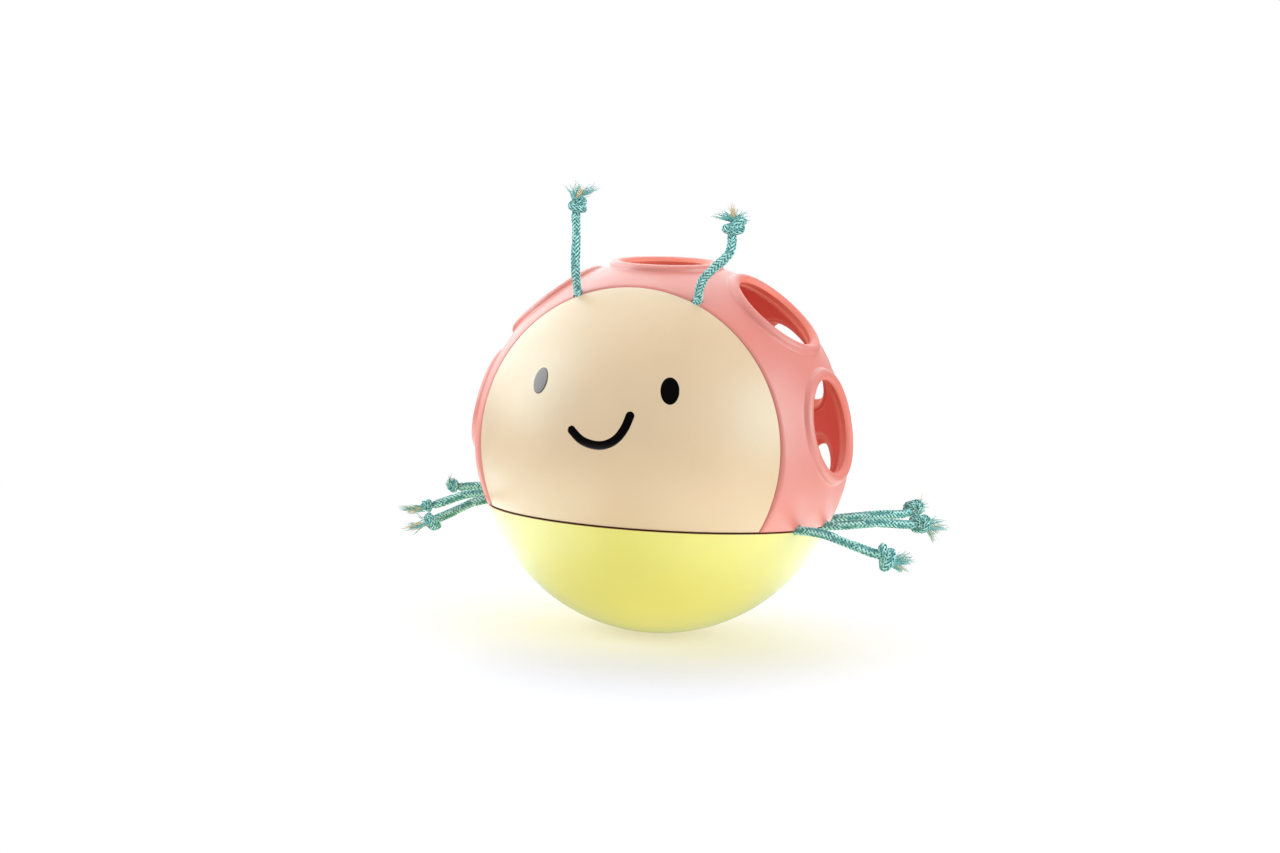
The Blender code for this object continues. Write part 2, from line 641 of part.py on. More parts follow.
def cord_exits():
    """Where each cord leaves the shells: point, way inward and way aside into the hollow."""
    exits = {}
    level = depth_on_sphere(CAGE_RADIUS, LEG_Z - BALL_CENTRE.z) + GAP
    for place, degrees in LEG_ANGLES.items():
        angle = math.radians(degrees)
        for side, sign in (("right", 1), ("left", -1)):
            out = Vector((sign * math.cos(angle), math.sin(angle), 0.0))
            exits[f"leg_{side}_{place}"] = (out * level + Vector((0, 0, LEG_Z)), -out, Vector((0, 0, -1)))
    behind = -FACE_FORWARD + ANTENNA_BEHIND_SEAM
    up = depth_on_sphere(CAGE_RADIUS, behind) + GAP
    angle = math.radians(ANTENNA_ANGLE)
    for side, sign in (("right", 1), ("left", -1)):
        out = Vector((sign * math.sin(angle), 0.0, math.cos(angle)))
        point = out * up + Vector((0, behind, BALL_CENTRE.z))
        exits[f"antenna_{side}"] = (point, -out, Vector((0, -1, 0)))
    return exits


def build_bores():
    """Cutters for the small bores in the seams that the cords come out of."""
    lines = []
    for point, inward, aside in cord_exits().values():
        lines.append((point + inward * BORE_DEPTH, point - inward * BORE_REACH))
    return rods("cord_bore_guides", lines, BORE_RADIUS)


def build_cord(name, exit_point, inward, aside):
    """Stop end inside the shell, free cord on its pivot, overhand knot and frayed tuft."""
    stop_end = ANTENNA_STOP_END if name.startswith("antenna") else LEG_STOP_END
    inner = [exit_point + inward * way_in + aside * way_aside for way_in, way_aside, share in stop_end]
    tube(name + "_stop_end", inner, [share for way_in, way_aside, share in stop_end], exit_point, "cord")

    route = [exit_point + Vector(step) / 1000 for step in ROUTES[name]]
    leaving = (route[0] - exit_point).normalized()
    start = exit_point + leaving * 1.5 * GAP
    pivot = start + leaving * CORD_RADIUS
    fine = smooth_line([start, *route[:-1]], CORD_RADIUS / 4)
    step = (fine[1] - fine[0]).length
    last = len(fine) - 1 - round((KNOT_LENGTH / 2 + GAP) / step)
    count = round((last * step - CORD_RADIUS) / (4 * CORD_RADIUS))
    places = [0, round(0.4 * CORD_RADIUS / step), round(CORD_RADIUS / step)]
    places += [places[2] + (last - places[2]) * i // count for i in range(1, count + 1)]
    radii = [0.44, 0.8] + [1.0] * (len(places) - 2)
    cord = tube(name + "_cord", [fine[i] for i in places], radii, pivot, "cord")

    knot_axis = (fine[-1] - fine[last]).normalized()
    knot_start = fine[last] + knot_axis * GAP
    knot_end = knot_start + knot_axis * KNOT_LENGTH
    tuft_axis = (knot_axis + (route[-1] - fine[-1]).normalized()).normalized()
    tuft_start = knot_end + (knot_axis + tuft_axis).normalized() * GAP
    tuft_length = max((route[-1] - tuft_start).length, KNOT_RADIUS)
    knot_profile = [(r * KNOT_RADIUS, h * KNOT_LENGTH) for r, h in KNOT_SHAPE]
    tuft_profile = [(r * TUFT_RADIUS, h * tuft_length) for r, h in TUFT_SHAPE]
    knot = turned(knot_profile, about_line(knot_start - pivot, knot_axis), KNOT_STEPS)
    tuft = turned(tuft_profile, about_line(tuft_start - pivot, tuft_axis), KNOT_STEPS)
    pieces = [cord, mesh_object(name + "_knot", knot, "cord"), mesh_object(name + "_tuft", tuft, "cord")]
    hinge = bpy.data.objects.new(name + "_pivot", None)
    bpy.context.scene.collection.objects.link(hinge)
    hinge.location = pivot
    for piece in pieces:
        piece.location = (0, 0, 0)
        piece.parent = hinge


def main():
    for obj in list(bpy.data.objects):
        bpy.data.objects.remove(obj, do_unlink=True)
    bores = build_bores()
    build_bowl(bores)
    build_ballast()
    build_frame(bores)
    build_face(bores)
    build_cage(bores)
    for name, (point, inward, aside) in cord_exits().items():
        build_cord(name, point, inward, aside)


main()
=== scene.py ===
"""Looks of a grasping ball: satin bowl and face shells, a soft cage with ringed finger holes, and eight
braided cords with overhand knots and frayed ends. Metres, +Z up, the face looks along -Y."""

from math import acos, asin, atan2, ceil, cos, degrees, exp, hypot, pi, radians, sin, sqrt, tau

import bmesh
import bpy
import numpy as np
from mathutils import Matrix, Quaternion, Vector
from mathutils.geometry import delaunay_2d_cdt


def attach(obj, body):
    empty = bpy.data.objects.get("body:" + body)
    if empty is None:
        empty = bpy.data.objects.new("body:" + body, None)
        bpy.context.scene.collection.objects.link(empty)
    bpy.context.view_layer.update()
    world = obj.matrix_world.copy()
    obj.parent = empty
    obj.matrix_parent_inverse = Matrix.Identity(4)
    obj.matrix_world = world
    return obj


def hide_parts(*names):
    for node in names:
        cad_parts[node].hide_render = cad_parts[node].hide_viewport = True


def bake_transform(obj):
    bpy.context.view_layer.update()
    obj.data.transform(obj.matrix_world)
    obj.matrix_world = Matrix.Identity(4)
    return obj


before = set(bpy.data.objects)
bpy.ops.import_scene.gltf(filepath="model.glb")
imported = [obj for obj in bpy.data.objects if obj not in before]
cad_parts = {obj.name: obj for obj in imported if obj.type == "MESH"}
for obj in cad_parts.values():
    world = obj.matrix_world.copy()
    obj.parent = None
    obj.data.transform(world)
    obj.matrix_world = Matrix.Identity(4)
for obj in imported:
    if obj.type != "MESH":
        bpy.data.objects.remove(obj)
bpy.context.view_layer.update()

# Sizes of the solids, repeated so that each piece lies where its solid is
GAP = 0.0003
BOWL_RADIUS = 0.0570
BOWL_WALL = 0.0026
FOOT_RADIUS = 0.0065
SEAM_DROP = 0.0186
CAGE_RADIUS = 0.0582
CAGE_WALL = 0.0021
CAGE_RISE = 0.0032
FACE_RADIUS = 0.0578
FACE_WALL = 0.0026
FACE_FORWARD = 0.0318
FLANGE_THICK = 0.0018
FLANGE_REACH = 0.0031
HOLE_ANGLE = 14.0
SMALL_HOLE_ANGLE = 8.65
FRONT_LAND = 0.0030
BACK_LAND = 0.0005
LOW_LAND = 0.0008
FRONT_ROW = 84.0
BACK_ROW = 131.0
SMALL_HOLE_TURN = 46.2
BEAD_TUBE = 0.0019
BEAD_HEIGHT = 0.0016
BEAD_FILLET = 0.0010
FRAME_PLATE = 0.0022
FRAME_CLEARANCE = 0.0008
POST_RADIUS = 0.0035
BOWL_POST_INSET = 0.0138
FRONT_POST_BEHIND = 0.0058
BACK_POST_ANGLE = 50.0
FACE_POST_ANGLES = (47.0, 102.0)
FACE_POST_INSET = 0.0122
SCREW_BORE = 0.0017
SCREW_LENGTH = 0.0095
BALLAST_TOP = 0.0120
BALLAST_BOSS = 0.0040
CORD_RADIUS = 0.0015
LEG_LIFT = 0.00035
LEG_ANGLES = {"front": -20.0, "mid": 0.0, "back": 20.0}
ANTENNA_BEHIND_SEAM = 0.0010
ANTENNA_ANGLE = 22.9
BORE_DEPTH = 0.0111
BORE_REACH = 0.0044

# Cord routes in millimetres from where each cord leaves the shells: to the knot's middle, then the tuft's tip
ROUTES = {
    "antenna_left": [(0.1, -1.2, 2.4), (0.3, -3.3, 7.6), (0.2, -3.5, 12.3), (-0.6, -2.2, 18.0),
                     (-1.5, -1.3, 25.8), (-1.3, -0.6, 31.9)],
    "antenna_right": [(0.7, -1.4, 2.7), (2.3, -2.7, 6.2), (5.7, -3.3, 9.6), (8.5, -3.0, 12.2),
                      (10.0, -2.4, 15.4), (9.7, -1.0, 21.7), (8.6, -1.0, 27.2)],
    "leg_right_front": [(4.7, -1.5, 0.1), (9.4, -2.7, -0.2), (16.9, -4.1, -2.0), (24.7, -4.4, -4.1),
                        (27.9, -4.2, -5.4), (34.0, -2.8, -6.1)],
    "leg_right_mid": [(4.7, 0.4, 0.5), (9.2, 1.3, 1.2), (16.4, 3.8, 2.1), (24.1, 8.2, 1.9),
                      (27.3, 10.5, 1.7), (31.8, 14.5, 0.6)],
    "leg_right_back": [(4.4, 1.9, 0.8), (8.6, 4.5, 1.4), (14.9, 9.3, 2.1), (20.3, 14.4, 2.4),
                       (22.9, 17.8, 3.6), (26.5, 22.6, 5.0)],
    "leg_left_front": [(-3.6, -2.0, -1.2), (-6.2, -6.0, -3.0), (-8.3, -11.7, -4.7), (-9.9, -19.3, -6.2),
                       (-11.0, -25.4, -5.8)],
    "leg_left_mid": [(-4.8, -0.1, -0.1), (-10.8, -0.9, -1.0), (-14.1, -1.4, -2.0), (-18.8, -2.6, -4.1),
                     (-24.1, -4.2, -6.3), (-29.4, -6.3, -8.1)],
    "leg_left_back": [(-4.9, 1.4, -0.2), (-13.0, 2.0, -0.3), (-20.1, 1.3, -0.5), (-24.6, -0.1, -1.0),
                      (-28.6, -2.0, -1.4), (-31.4, -3.6, 1.2)],
}

# Inner stretch of a cord, in millimetres inward and aside: from the stop knot's middle outward
LEG_INSIDE = [(12.0, 8.0), (11.8, 4.2), (10.9, 2.2), (9.2, 0.8), (6.8, 0.1), (3.5, 0.0)]
ANTENNA_INSIDE = [(13.6, 5.0), (10.6, 2.4), (9.0, 1.1), (6.8, 0.15), (3.5, 0.0)]

# Finer forms of the shells
EDGE_ROUND = 0.00035         # moulded edges of the bowl and the face
SEAM_SHADE_SHARE = 0.5             # how much of the rounding is painted with the seam's shade, on the bowl and on the face
SEAM_SHADE_BANDS = 3
CAGE_ROUND = 0.0006          # the cage's soft edge
INNER_TUBE = 0.0011          # low bead inside each hole: its rounding and its height over the inner skin
INNER_BEAD = 0.0006
INNER_FLARE = 0.0016         # how much wider a hole is on the inside
CREST_SHARE = 0.92           # share of a bead's height where the hole's wall begins
BORE_GAP = 0.00005           # the soft shells hug the cords
CAGE_BULGE = 0.0008          # the cage's skin swells a little over the seam and sits down at the top
CAGE_SAG = 0.0005
BULGE_HEIGHT = -0.12         # middle and half width of the swelling, in shares of the ball's radius
BULGE_WIDTH = 0.22
SETTLE_REACH = 0.010         # how far from the rim the skin moves freely
FOOT_LIFT = 0.00001          # the foot's edge stays just off the floor
LATHE_STEPS = 192
ROD_STEPS = 40
BOWL_STEPS = 56              # along the bowl's skin, its inside, an edge's rounding and a bead
INSIDE_STEPS = 30
ROUND_STEPS = 6
BEAD_STEPS = 16
ROUND_START = 12.0           # how far round the bowl's rim its first point lies, in degrees
HOLE_STEPS = 96
ARCH_STEPS = 160
SWEEP_STEPS = 160
SKIN_STEP = 3.0              # spacing of a skin's points and its clear margin, in degrees and in steps
SKIN_MARGIN = 0.55
HOLE_SHARE = 0.999           # a triangle nearer to a hole's axis than this share of its size lies in the hole
SHARP_ANGLE = 35.0

# Braid: flat strands in two opposite windings, two over and two under
STRANDS = 7                  # in each winding
BRAID_PITCH = 0.0084
BRAID_MEAN = 0.00108
BRAID_WAVE = 0.00020
STRAND_HALF_WIDTH = 0.00030
STRAND_HALF_THICK = 0.00023
CORE_RADIUS = 0.00078
STRAND_SIDES = 6
CORE_SIDES = 8
PALE_TONES = (0.7, 1.0)      # of the strands in each winding
DEEP_TONES = (0.0, 0.3)
BRAID_STEP = 0.00033         # spacing along a braid, and along its free stretch before its knot is set in
FREE_STEP = 0.0006
DRAWN_ROWS = 6               # over how many steps a cord thins toward a knot
FIRST_SEED = 100

# Picture directions of the photograph's camera
AZIMUTH = 19.31
ELEVATION = 4.75
ROLL = 3.42
CAMERA_DISTANCE = 0.6316
LENS = 56.25                 # in millimetres, as is the sensor
SENSOR_WIDTH = 36.0
CLIP_START = 0.01
SHIFT = (-0.0171, 0.0198)


def depth_on_sphere(radius, off_axis):
    """Distance of a sphere's surface from its centre plane, at a distance from the axis."""
    return sqrt(radius ** 2 - off_axis ** 2)


# Places that follow from the sizes
BOWL_CENTRE = Vector((0.0, 0.0, depth_on_sphere(BOWL_RADIUS, FOOT_RADIUS)))
SEAM_Z = BOWL_CENTRE.z - SEAM_DROP
HOLE_OPENING = CAGE_RADIUS * radians(HOLE_ANGLE)
SMALL_HOLE_OPENING = CAGE_RADIUS * radians(SMALL_HOLE_ANGLE)
BALL_CENTRE = BOWL_CENTRE + Vector((0.0, 0.0, CAGE_RISE))
RIM_Y = -FACE_FORWARD + GAP / 2
RIM_Z = SEAM_Z + GAP / 2
WALL_Y = RIM_Y + FLANGE_THICK + GAP
DECK_Z = RIM_Z + FLANGE_THICK + GAP
CAGE_INSIDE = CAGE_RADIUS - CAGE_WALL
FRAME_RADIUS = depth_on_sphere(CAGE_INSIDE, DECK_Z - BALL_CENTRE.z) - FRAME_CLEARANCE
WALL_RADIUS = depth_on_sphere(CAGE_INSIDE, WALL_Y) - FRAME_CLEARANCE
LEG_Z = SEAM_Z + LEG_LIFT
BORE_RADIUS = CORD_RADIUS + BORE_GAP
CAMERA_AXIS = Vector((sin(radians(AZIMUTH)) * cos(radians(ELEVATION)),
                      -cos(radians(AZIMUTH)) * cos(radians(ELEVATION)),
                      sin(radians(ELEVATION))))
CAMERA_TURN = CAMERA_AXIS.to_track_quat("Z", "Y") @ Quaternion((0, 0, 1), radians(ROLL))


# Materials

# Textures: sizes per metre, then how much they change a finish
NOISE_ENDS = (0.3, 0.7)      # between which most of a noise lies
CLOUD_SCALE = 38.0
SPECK_SCALE = 1900.0
CLOUD_SHARE = 0.75
CLOUD_CHANGE = 0.035
SATIN_SCALE = 150.0
SATIN_CHANGE = 0.035
GRAIN_SCALE = 3600.0
GRAIN_DEPTH = 0.00003
TURNED_SCALE = (900.0, 900.0, 6000.0)
TURNED_RELIEF = 0.25
FUZZ_SCALE = 2600.0
FUZZ_RELIEF = 0.8
FLECK_SCALE = 900.0
FLECK_RANGE = (0.40, 0.62)
TWIST_LENGTH = 0.9           # of a yarn's plies, in millimetres
YARN_DEPTH = 0.00008
YARN_RELIEF = 0.7
CROWN_RANGE = (0.30, 0.95)   # heights of a strand over its neighbours, from in shade to in the light
COTTON_SHADE = -0.24         # where cotton starts between dark and light, and what each part adds
# The crown's part is painted light and shade: strands lying over others are paler on their outward sides
COTTON_LIGHT = {"crown": 0.62, "ply": 0.12, "fuzz": 0.24, "fleck": 0.24, "tone": 0.26}


def node(tree, kind, inputs=None, **settings):
    """Adds a shader node; an input is a value or another node's socket."""
    made = tree.nodes.new("ShaderNode" + kind)
    for key, value in settings.items():
        setattr(made, key, value)
    for key, value in (inputs or {}).items():
        socket = made.inputs[key]
        if isinstance(value, bpy.types.NodeSocket):
            tree.links.new(value, socket)
        else:
            socket.default_value = (*value, 1.0) if socket.type == "RGBA" else value
    return made


def mixed(tree, share, first, second):
    """Colour between two colours."""
    return node(tree, "Mix", {0: share, 6: first, 7: second}, data_type="RGBA").outputs[2]


def calc(tree, operation, first, second=0.0):
    """Arithmetic on values or sockets."""
    return node(tree, "Math", {0: first, 1: second}, operation=operation).outputs[0]


def times(tree, first, second):
    """Product of two values or sockets."""
    return calc(tree, "MULTIPLY", first, second)


def plus(tree, first, second):
    """Sum of two values or sockets."""
    return calc(tree, "ADD", first, second)


def weighed(tree, value, weight, base):
    """A value times its weight, on top of a base."""
    return plus(tree, times(tree, value, weight), base)


def noise(tree, scale, detail=2.0):
    """Noise of a size in the object's own space, per metre."""
    place = node(tree, "TexCoord").outputs["Object"]
    return node(tree, "TexNoise", {"Vector": place, "Scale": scale, "Detail": detail}).outputs["Fac"]


def eased(tree, value, ends, low, high, way="SMOOTHSTEP"):
    """Goes from the low value to the high one between two ends, softly unless said otherwise."""
    inputs = {"Value": value, "From Min": ends[0], "From Max": ends[1], "To Min": low, "To Max": high}
    return node(tree, "MapRange", inputs, interpolation_type=way).outputs["Result"]


def spread(tree, value, low, high):
    """Maps a noise value to a range."""
    return eased(tree, value, NOISE_ENDS, low, high, "LINEAR")


def between(tree, value, ends):
    """Share from 0 at the first end to 1 at the second."""
    return eased(tree, value, ends, 0.0, 1.0)


def length_of(tree, vector):
    """Length of a vector socket."""
    return node(tree, "VectorMath", {0: vector}, operation="LENGTH").outputs["Value"]


def new_material(name, **sockets):
    """Material with a principled shader; sockets are its uniform values."""
    made = bpy.data.materials.new(name)
    made.use_nodes = True
    shader = made.node_tree.nodes["Principled BSDF"]
    for key, value in sockets.items():
        shader.inputs[key.replace("_", " ")].default_value = value
    return made, made.node_tree, shader


def vary(tree, shader, colour, height, strength, depth, roughness=None):
    """Links what changes over a surface to its shader: colour, relief and roughness."""
    relief = node(tree, "Bump", {"Height": height, "Strength": strength, "Distance": depth})
    links = {"Base Color": colour, "Normal": relief.outputs["Normal"], "Roughness": roughness}
    for key, socket in links.items():
        if socket is not None:
            tree.links.new(socket, shader.inputs[key])


def tinted(colour, share):
    """The colour times a share."""
    return tuple(min(1.0, c * share) for c in colour)


def moulded(name, colour, roughness, grain, inside=None, **sockets):
    """Moulded plastic or rubber: faint clouding, uneven satin and a fine eroded grain.

    Inside is a colour painted on deep places as bounce light, with the heights over the cage's skin where it
    is full and ends."""
    made, tree, shader = new_material(name, **sockets)
    cloud = times(tree, noise(tree, CLOUD_SCALE, 3.0), CLOUD_SHARE)
    speck = times(tree, noise(tree, SPECK_SCALE, 3.0), 1 - CLOUD_SHARE)
    share = spread(tree, plus(tree, cloud, speck), 0.0, 1.0)
    shown = mixed(tree, share, tinted(colour, 1 - CLOUD_CHANGE), tinted(colour, 1 + CLOUD_CHANGE))
    # Painted bounce light: deep places turn to the inside colour
    if inside:
        painted_bounce_colour, full, end = inside
        place = node(tree, "TexCoord").outputs["Object"]
        depth = node(tree, "VectorMath", {0: place, 1: BALL_CENTRE}, operation="DISTANCE").outputs["Value"]
        shown = mixed(tree, between(tree, depth, (CAGE_RADIUS + full, CAGE_RADIUS + end)), painted_bounce_colour, shown)
    satin = spread(tree, noise(tree, SATIN_SCALE, 4.0), roughness - SATIN_CHANGE, roughness + SATIN_CHANGE)
    vary(tree, shader, shown, noise(tree, GRAIN_SCALE), grain, GRAIN_DEPTH, satin)
    return made


def cotton(name, dark, light):
    """Spun cotton yarn: slanted plies along each strand, painted light on the crowns, painted shade in the
    hollows, and matt fuzz.
    """
    made, tree, shader = new_material(name, Roughness=0.9, Sheen_Weight=0.12, Sheen_Roughness=0.5)

    def stored(key):
        values = node(tree, "Attribute", attribute_name=key).outputs["Vector"]
        return node(tree, "SeparateXYZ", {0: values}).outputs

    yarn = stored("yarn")
    tone = stored("tone")
    angle = times(tree, yarn["X"], tau / TWIST_LENGTH)
    slant = plus(tree, times(tree, calc(tree, "SINE", angle), yarn["Y"]),
                 times(tree, calc(tree, "COSINE", angle), yarn["Z"]))
    lift = between(tree, tone["Y"], CROWN_RANGE)
    parts = {
        # Painted light and shade: paler on a strand's outward side where it lies over others, darker under
        # crossings and in the hollows
        "crown": times(tree, between(tree, yarn["Z"], (0.0, 1.0)), lift),
        "ply": weighed(tree, slant, 0.5, 0.5),
        "fuzz": noise(tree, FUZZ_SCALE, 4.0),
        "fleck": between(tree, noise(tree, FLECK_SCALE), FLECK_RANGE),
        "tone": tone["X"],
    }
    share = COTTON_SHADE
    for part, value in parts.items():
        share = weighed(tree, value, COTTON_LIGHT[part], share)
    height = weighed(tree, parts["fuzz"], FUZZ_RELIEF, parts["ply"])
    vary(tree, shader, mixed(tree, share, dark, light), height, YARN_RELIEF, YARN_DEPTH)
    return made


def steel(name, dark, light, smooth, rough):
    """Zinc-plated steel with a fine turned grain."""
    made, tree, shader = new_material(name, Metallic=1.0)
    place = node(tree, "TexCoord").outputs["Object"]
    stretched = node(tree, "Mapping", {"Vector": place, "Scale": TURNED_SCALE}).outputs["Vector"]
    lines = node(tree, "TexNoise", {"Vector": stretched, "Scale": 1.0, "Detail": 3.0}).outputs["Fac"]
    roughness = spread(tree, lines, smooth, rough)
    vary(tree, shader, mixed(tree, lines, dark, light), lines, TURNED_RELIEF, GRAIN_DEPTH, roughness)
    return made


BOWL_FINISH = moulded("bowl satin", (0.89, 0.80, 0.115), 0.42, 0.10, Specular_IOR_Level=1.0, IOR=1.65,
                      Specular_Tint=(0.05, 0.40, 1.0, 1.0), Sheen_Weight=0.40, Sheen_Roughness=0.5,
                      Sheen_Tint=(0.20, 0.55, 1.0, 1.0))
FACE_FINISH = moulded("face satin", (0.775, 0.562, 0.350), 0.42, 0.10, Specular_IOR_Level=0.9,
                      Specular_Tint=(0.30, 0.85, 1.0, 1.0), Sheen_Weight=0.15, Sheen_Roughness=0.5,
                      Sheen_Tint=(0.35, 0.85, 1.0, 1.0))
# Painted shade: the rim faces that meet in the seam are painted dark maroon, as the shadow in the gap
SEAM_SHADE_FINISH = moulded("seam painted shade", (0.13, 0.026, 0.014), 0.6, 0.10)
FRAME_FINISH = moulded("frame moulding", (0.84, 0.20, 0.15), 0.48, 0.16)
CAGE_COLOUR = (0.80, 0.225, 0.175)
CAGE_LOOK = {"IOR": 1.6, "Specular_Tint": (0.10, 0.90, 1.0, 1.0)}
CAGE_FINISH = moulded("cage rubber", CAGE_COLOUR, 0.48, 0.14, Specular_IOR_Level=1.0, **CAGE_LOOK)
# Painted bounce light: the holes' walls turn deep red below the skin and the inner skin is deep red all over,
# for light bouncing inside the cage
WALL_BOUNCE_FINISH = moulded("hole wall rubber with painted bounce", CAGE_COLOUR, 0.48, 0.14, inside=((1.0, 0.30, 0.21), -0.0008, 0.0013),
                     Specular_IOR_Level=0.35, **CAGE_LOOK)
HOLLOW_BOUNCE_FINISH = moulded("inner cage rubber painted bounce", (1.0, 0.29, 0.23), 0.48, 0.14,
                        Specular_IOR_Level=0.0, **CAGE_LOOK)
PRINT_FINISH = moulded("gloss print", (0.002, 0.0015, 0.0015), 0.14, 0.03)
CORD_FINISH = cotton("teal cotton", (0.034, 0.250, 0.245), (0.55, 1.00, 0.97))
FRAY_FINISH = cotton("frayed cotton", (0.14, 0.52, 0.52), (0.62, 1.00, 0.97))
CORE_FINISH = cotton("cream cotton", (0.80, 0.62, 0.36), (1.0, 0.93, 0.76))
STEEL_FINISH = steel("zinc steel", (0.48, 0.48, 0.49), (0.62, 0.62, 0.63), 0.26, 0.40)


# Small helpers for meshes

def placed(name, data):
    """A new object in the scene."""
    obj = bpy.data.objects.new(name, data)
    bpy.context.scene.collection.objects.link(obj)
    return obj


def piece(name, data, finishes):
    """A mesh as an object with its finishes."""
    obj = placed(name, data)
    kinds = np.zeros(len(data.polygons), dtype=np.int32)
    data.polygons.foreach_get("material_index", kinds)
    data.materials.clear()
    for finish in finishes:
        data.materials.append(finish)
    data.polygons.foreach_set("material_index", np.minimum(kinds, len(finishes) - 1))
    return obj


def shaded(data):
    """The mesh with smooth faces, sharp only along its true edges."""
    data.shade_smooth()
    data.set_sharp_from_angle(angle=radians(SHARP_ANGLE))
    return data


def smooth_mesh(bm, name):
    """Closes a bmesh into a smooth mesh with its faces outward."""
    bmesh.ops.remove_doubles(bm, verts=bm.verts, dist=1e-7)
    bmesh.ops.recalc_face_normals(bm, faces=bm.faces)
    data = bpy.data.meshes.new(name)
    bm.to_mesh(data)
    bm.free()
    return shaded(data)


def arc(centre, radius, start, end, steps):
    """Points of an arc in a profile plane, angles in degrees from the first axis."""
    angles = [radians(start + (end - start) * i / steps) for i in range(steps + 1)]
    return [(centre[0] + radius * cos(a), centre[1] + radius * sin(a)) for a in angles]


def turned(profile, place, steps):
    """A solid of revolution; place maps (radius, height, angle) to a point."""
    bm = bmesh.new()
    rings = []
    for radius, height in profile:
        count = steps if radius > 1e-9 else 1
        rings.append([bm.verts.new(place(radius, height, tau * i / steps)) for i in range(count)])
    for low, high in zip(rings[:-1], rings[1:]):
        for i in range(steps):
            j = (i + 1) % steps
            corners = []
            for vert in (low[i % len(low)], low[j % len(low)], high[j % len(high)], high[i % len(high)]):
                if vert not in corners:
                    corners.append(vert)
            if len(corners) > 2:
                bm.faces.new(corners)
    return bm


def about_z(radius, height, angle):
    """Point on a solid turned about the bowl's upright axis."""
    return (radius * cos(angle), radius * sin(angle), height)


def about_line(start, direction):
    """Placing function for a solid turned about any line."""
    turn = direction.to_track_quat("Z", "Y")

    def place(radius, height, angle):
        return start + turn @ Vector((radius * cos(angle), radius * sin(angle), height))
    return place


def rods(lines, radius):
    """Round solids along lines in one mesh, used as cutters or posts."""
    whole = bpy.data.meshes.new("rods")
    bm = bmesh.new()
    for start, end in lines:
        length = (end - start).length
        profile = [(0.0, 0.0), (radius, 0.0), (radius, length), (0.0, length)]
        one = turned(profile, about_line(start, end - start), ROD_STEPS)
        one.to_mesh(whole)
        one.free()
        bm.from_mesh(whole)
    bpy.data.meshes.remove(whole)
    return smooth_mesh(bm, "rods")


def carved(data, steps):
    """The mesh after Boolean steps, each an (operation, tool mesh) pair."""
    target = placed("carving", data)
    tools = []
    for operation, tool_mesh in steps:
        tools.append(placed("tool", tool_mesh))
        modifier = target.modifiers.new(operation, "BOOLEAN")
        modifier.operation = operation
        modifier.object = tools[-1]
    bpy.context.view_layer.update()
    result = bpy.data.meshes.new_from_object(target.evaluated_get(bpy.context.evaluated_depsgraph_get()))
    for obj in [target, *tools]:
        bpy.data.objects.remove(obj, do_unlink=True)
    return shaded(result)


def new_loop(bm, points):
    """New vertices at points given from the ball's centre."""
    return [bm.verts.new(BALL_CENTRE + p) for p in points]


def bridge(bm, loops, finishes=None):
    """Quads from each closed loop to the next, all of one length; finishes has one number for each band."""
    for band, (first, second) in enumerate(zip(loops[:-1], loops[1:])):
        for i in range(len(first)):
            j = (i + 1) % len(first)
            face = bm.faces.new((first[i], first[j], second[j], second[i]))
            face.material_index = finishes[band] if finishes else 0


# Cord exits and bores

def cord_exits():
    """Where each cord leaves the shells: point, way inward and way aside into the hollow."""
    exits = {}
    level = depth_on_sphere(CAGE_RADIUS, LEG_Z - BALL_CENTRE.z) + GAP
    for place, leg_angle in LEG_ANGLES.items():
        angle = radians(leg_angle)
        for side, sign in (("right", 1), ("left", -1)):
            out = Vector((sign * cos(angle), sin(angle), 0.0))
            exits[f"leg_{side}_{place}"] = (out * level + Vector((0, 0, LEG_Z)), -out, Vector((0, 0, -1)))
    behind = -FACE_FORWARD + ANTENNA_BEHIND_SEAM
    up = depth_on_sphere(CAGE_RADIUS, behind) + GAP
    angle = radians(ANTENNA_ANGLE)
    for side, sign in (("right", 1), ("left", -1)):
        out = Vector((sign * sin(angle), 0.0, cos(angle)))
        point = out * up + Vector((0, behind, BALL_CENTRE.z))
        exits[f"antenna_{side}"] = (point, -out, Vector((0, -1, 0)))
    return exits


EXITS = cord_exits()


def cord_bores():
    """Cutter for the small bores in the seams that the cords come out of."""
    lines = []
    for point, inward, _ in EXITS.values():
        lines.append((point + inward * BORE_DEPTH, point - inward * BORE_REACH))
    return rods(lines, BORE_RADIUS)


def with_posts(shell, posts):
    """The shell with screw posts from a foot to a top, their bores and the cords' bores."""
    bores = []
    for foot, top in posts:
        way = (top - foot).normalized()
        bores.append((top - way * SCREW_LENGTH, top + way * FRAME_PLATE))
    return carved(shell, [("UNION", rods(posts, POST_RADIUS)), ("DIFFERENCE", rods(bores, SCREW_BORE)),
                          ("DIFFERENCE", cord_bores())])


def mirrored(items):
    """Each (x, other) pair on the right, then on the left."""
    return [(side * x, other) for x, other in items for side in (1, -1)]


def on_circle(radius, angles):
    """Places on a circle at angles in degrees, as (along, across) the axis the angles start from."""
    return [(radius * cos(radians(a)), radius * sin(radians(a))) for a in angles]


# Bowl

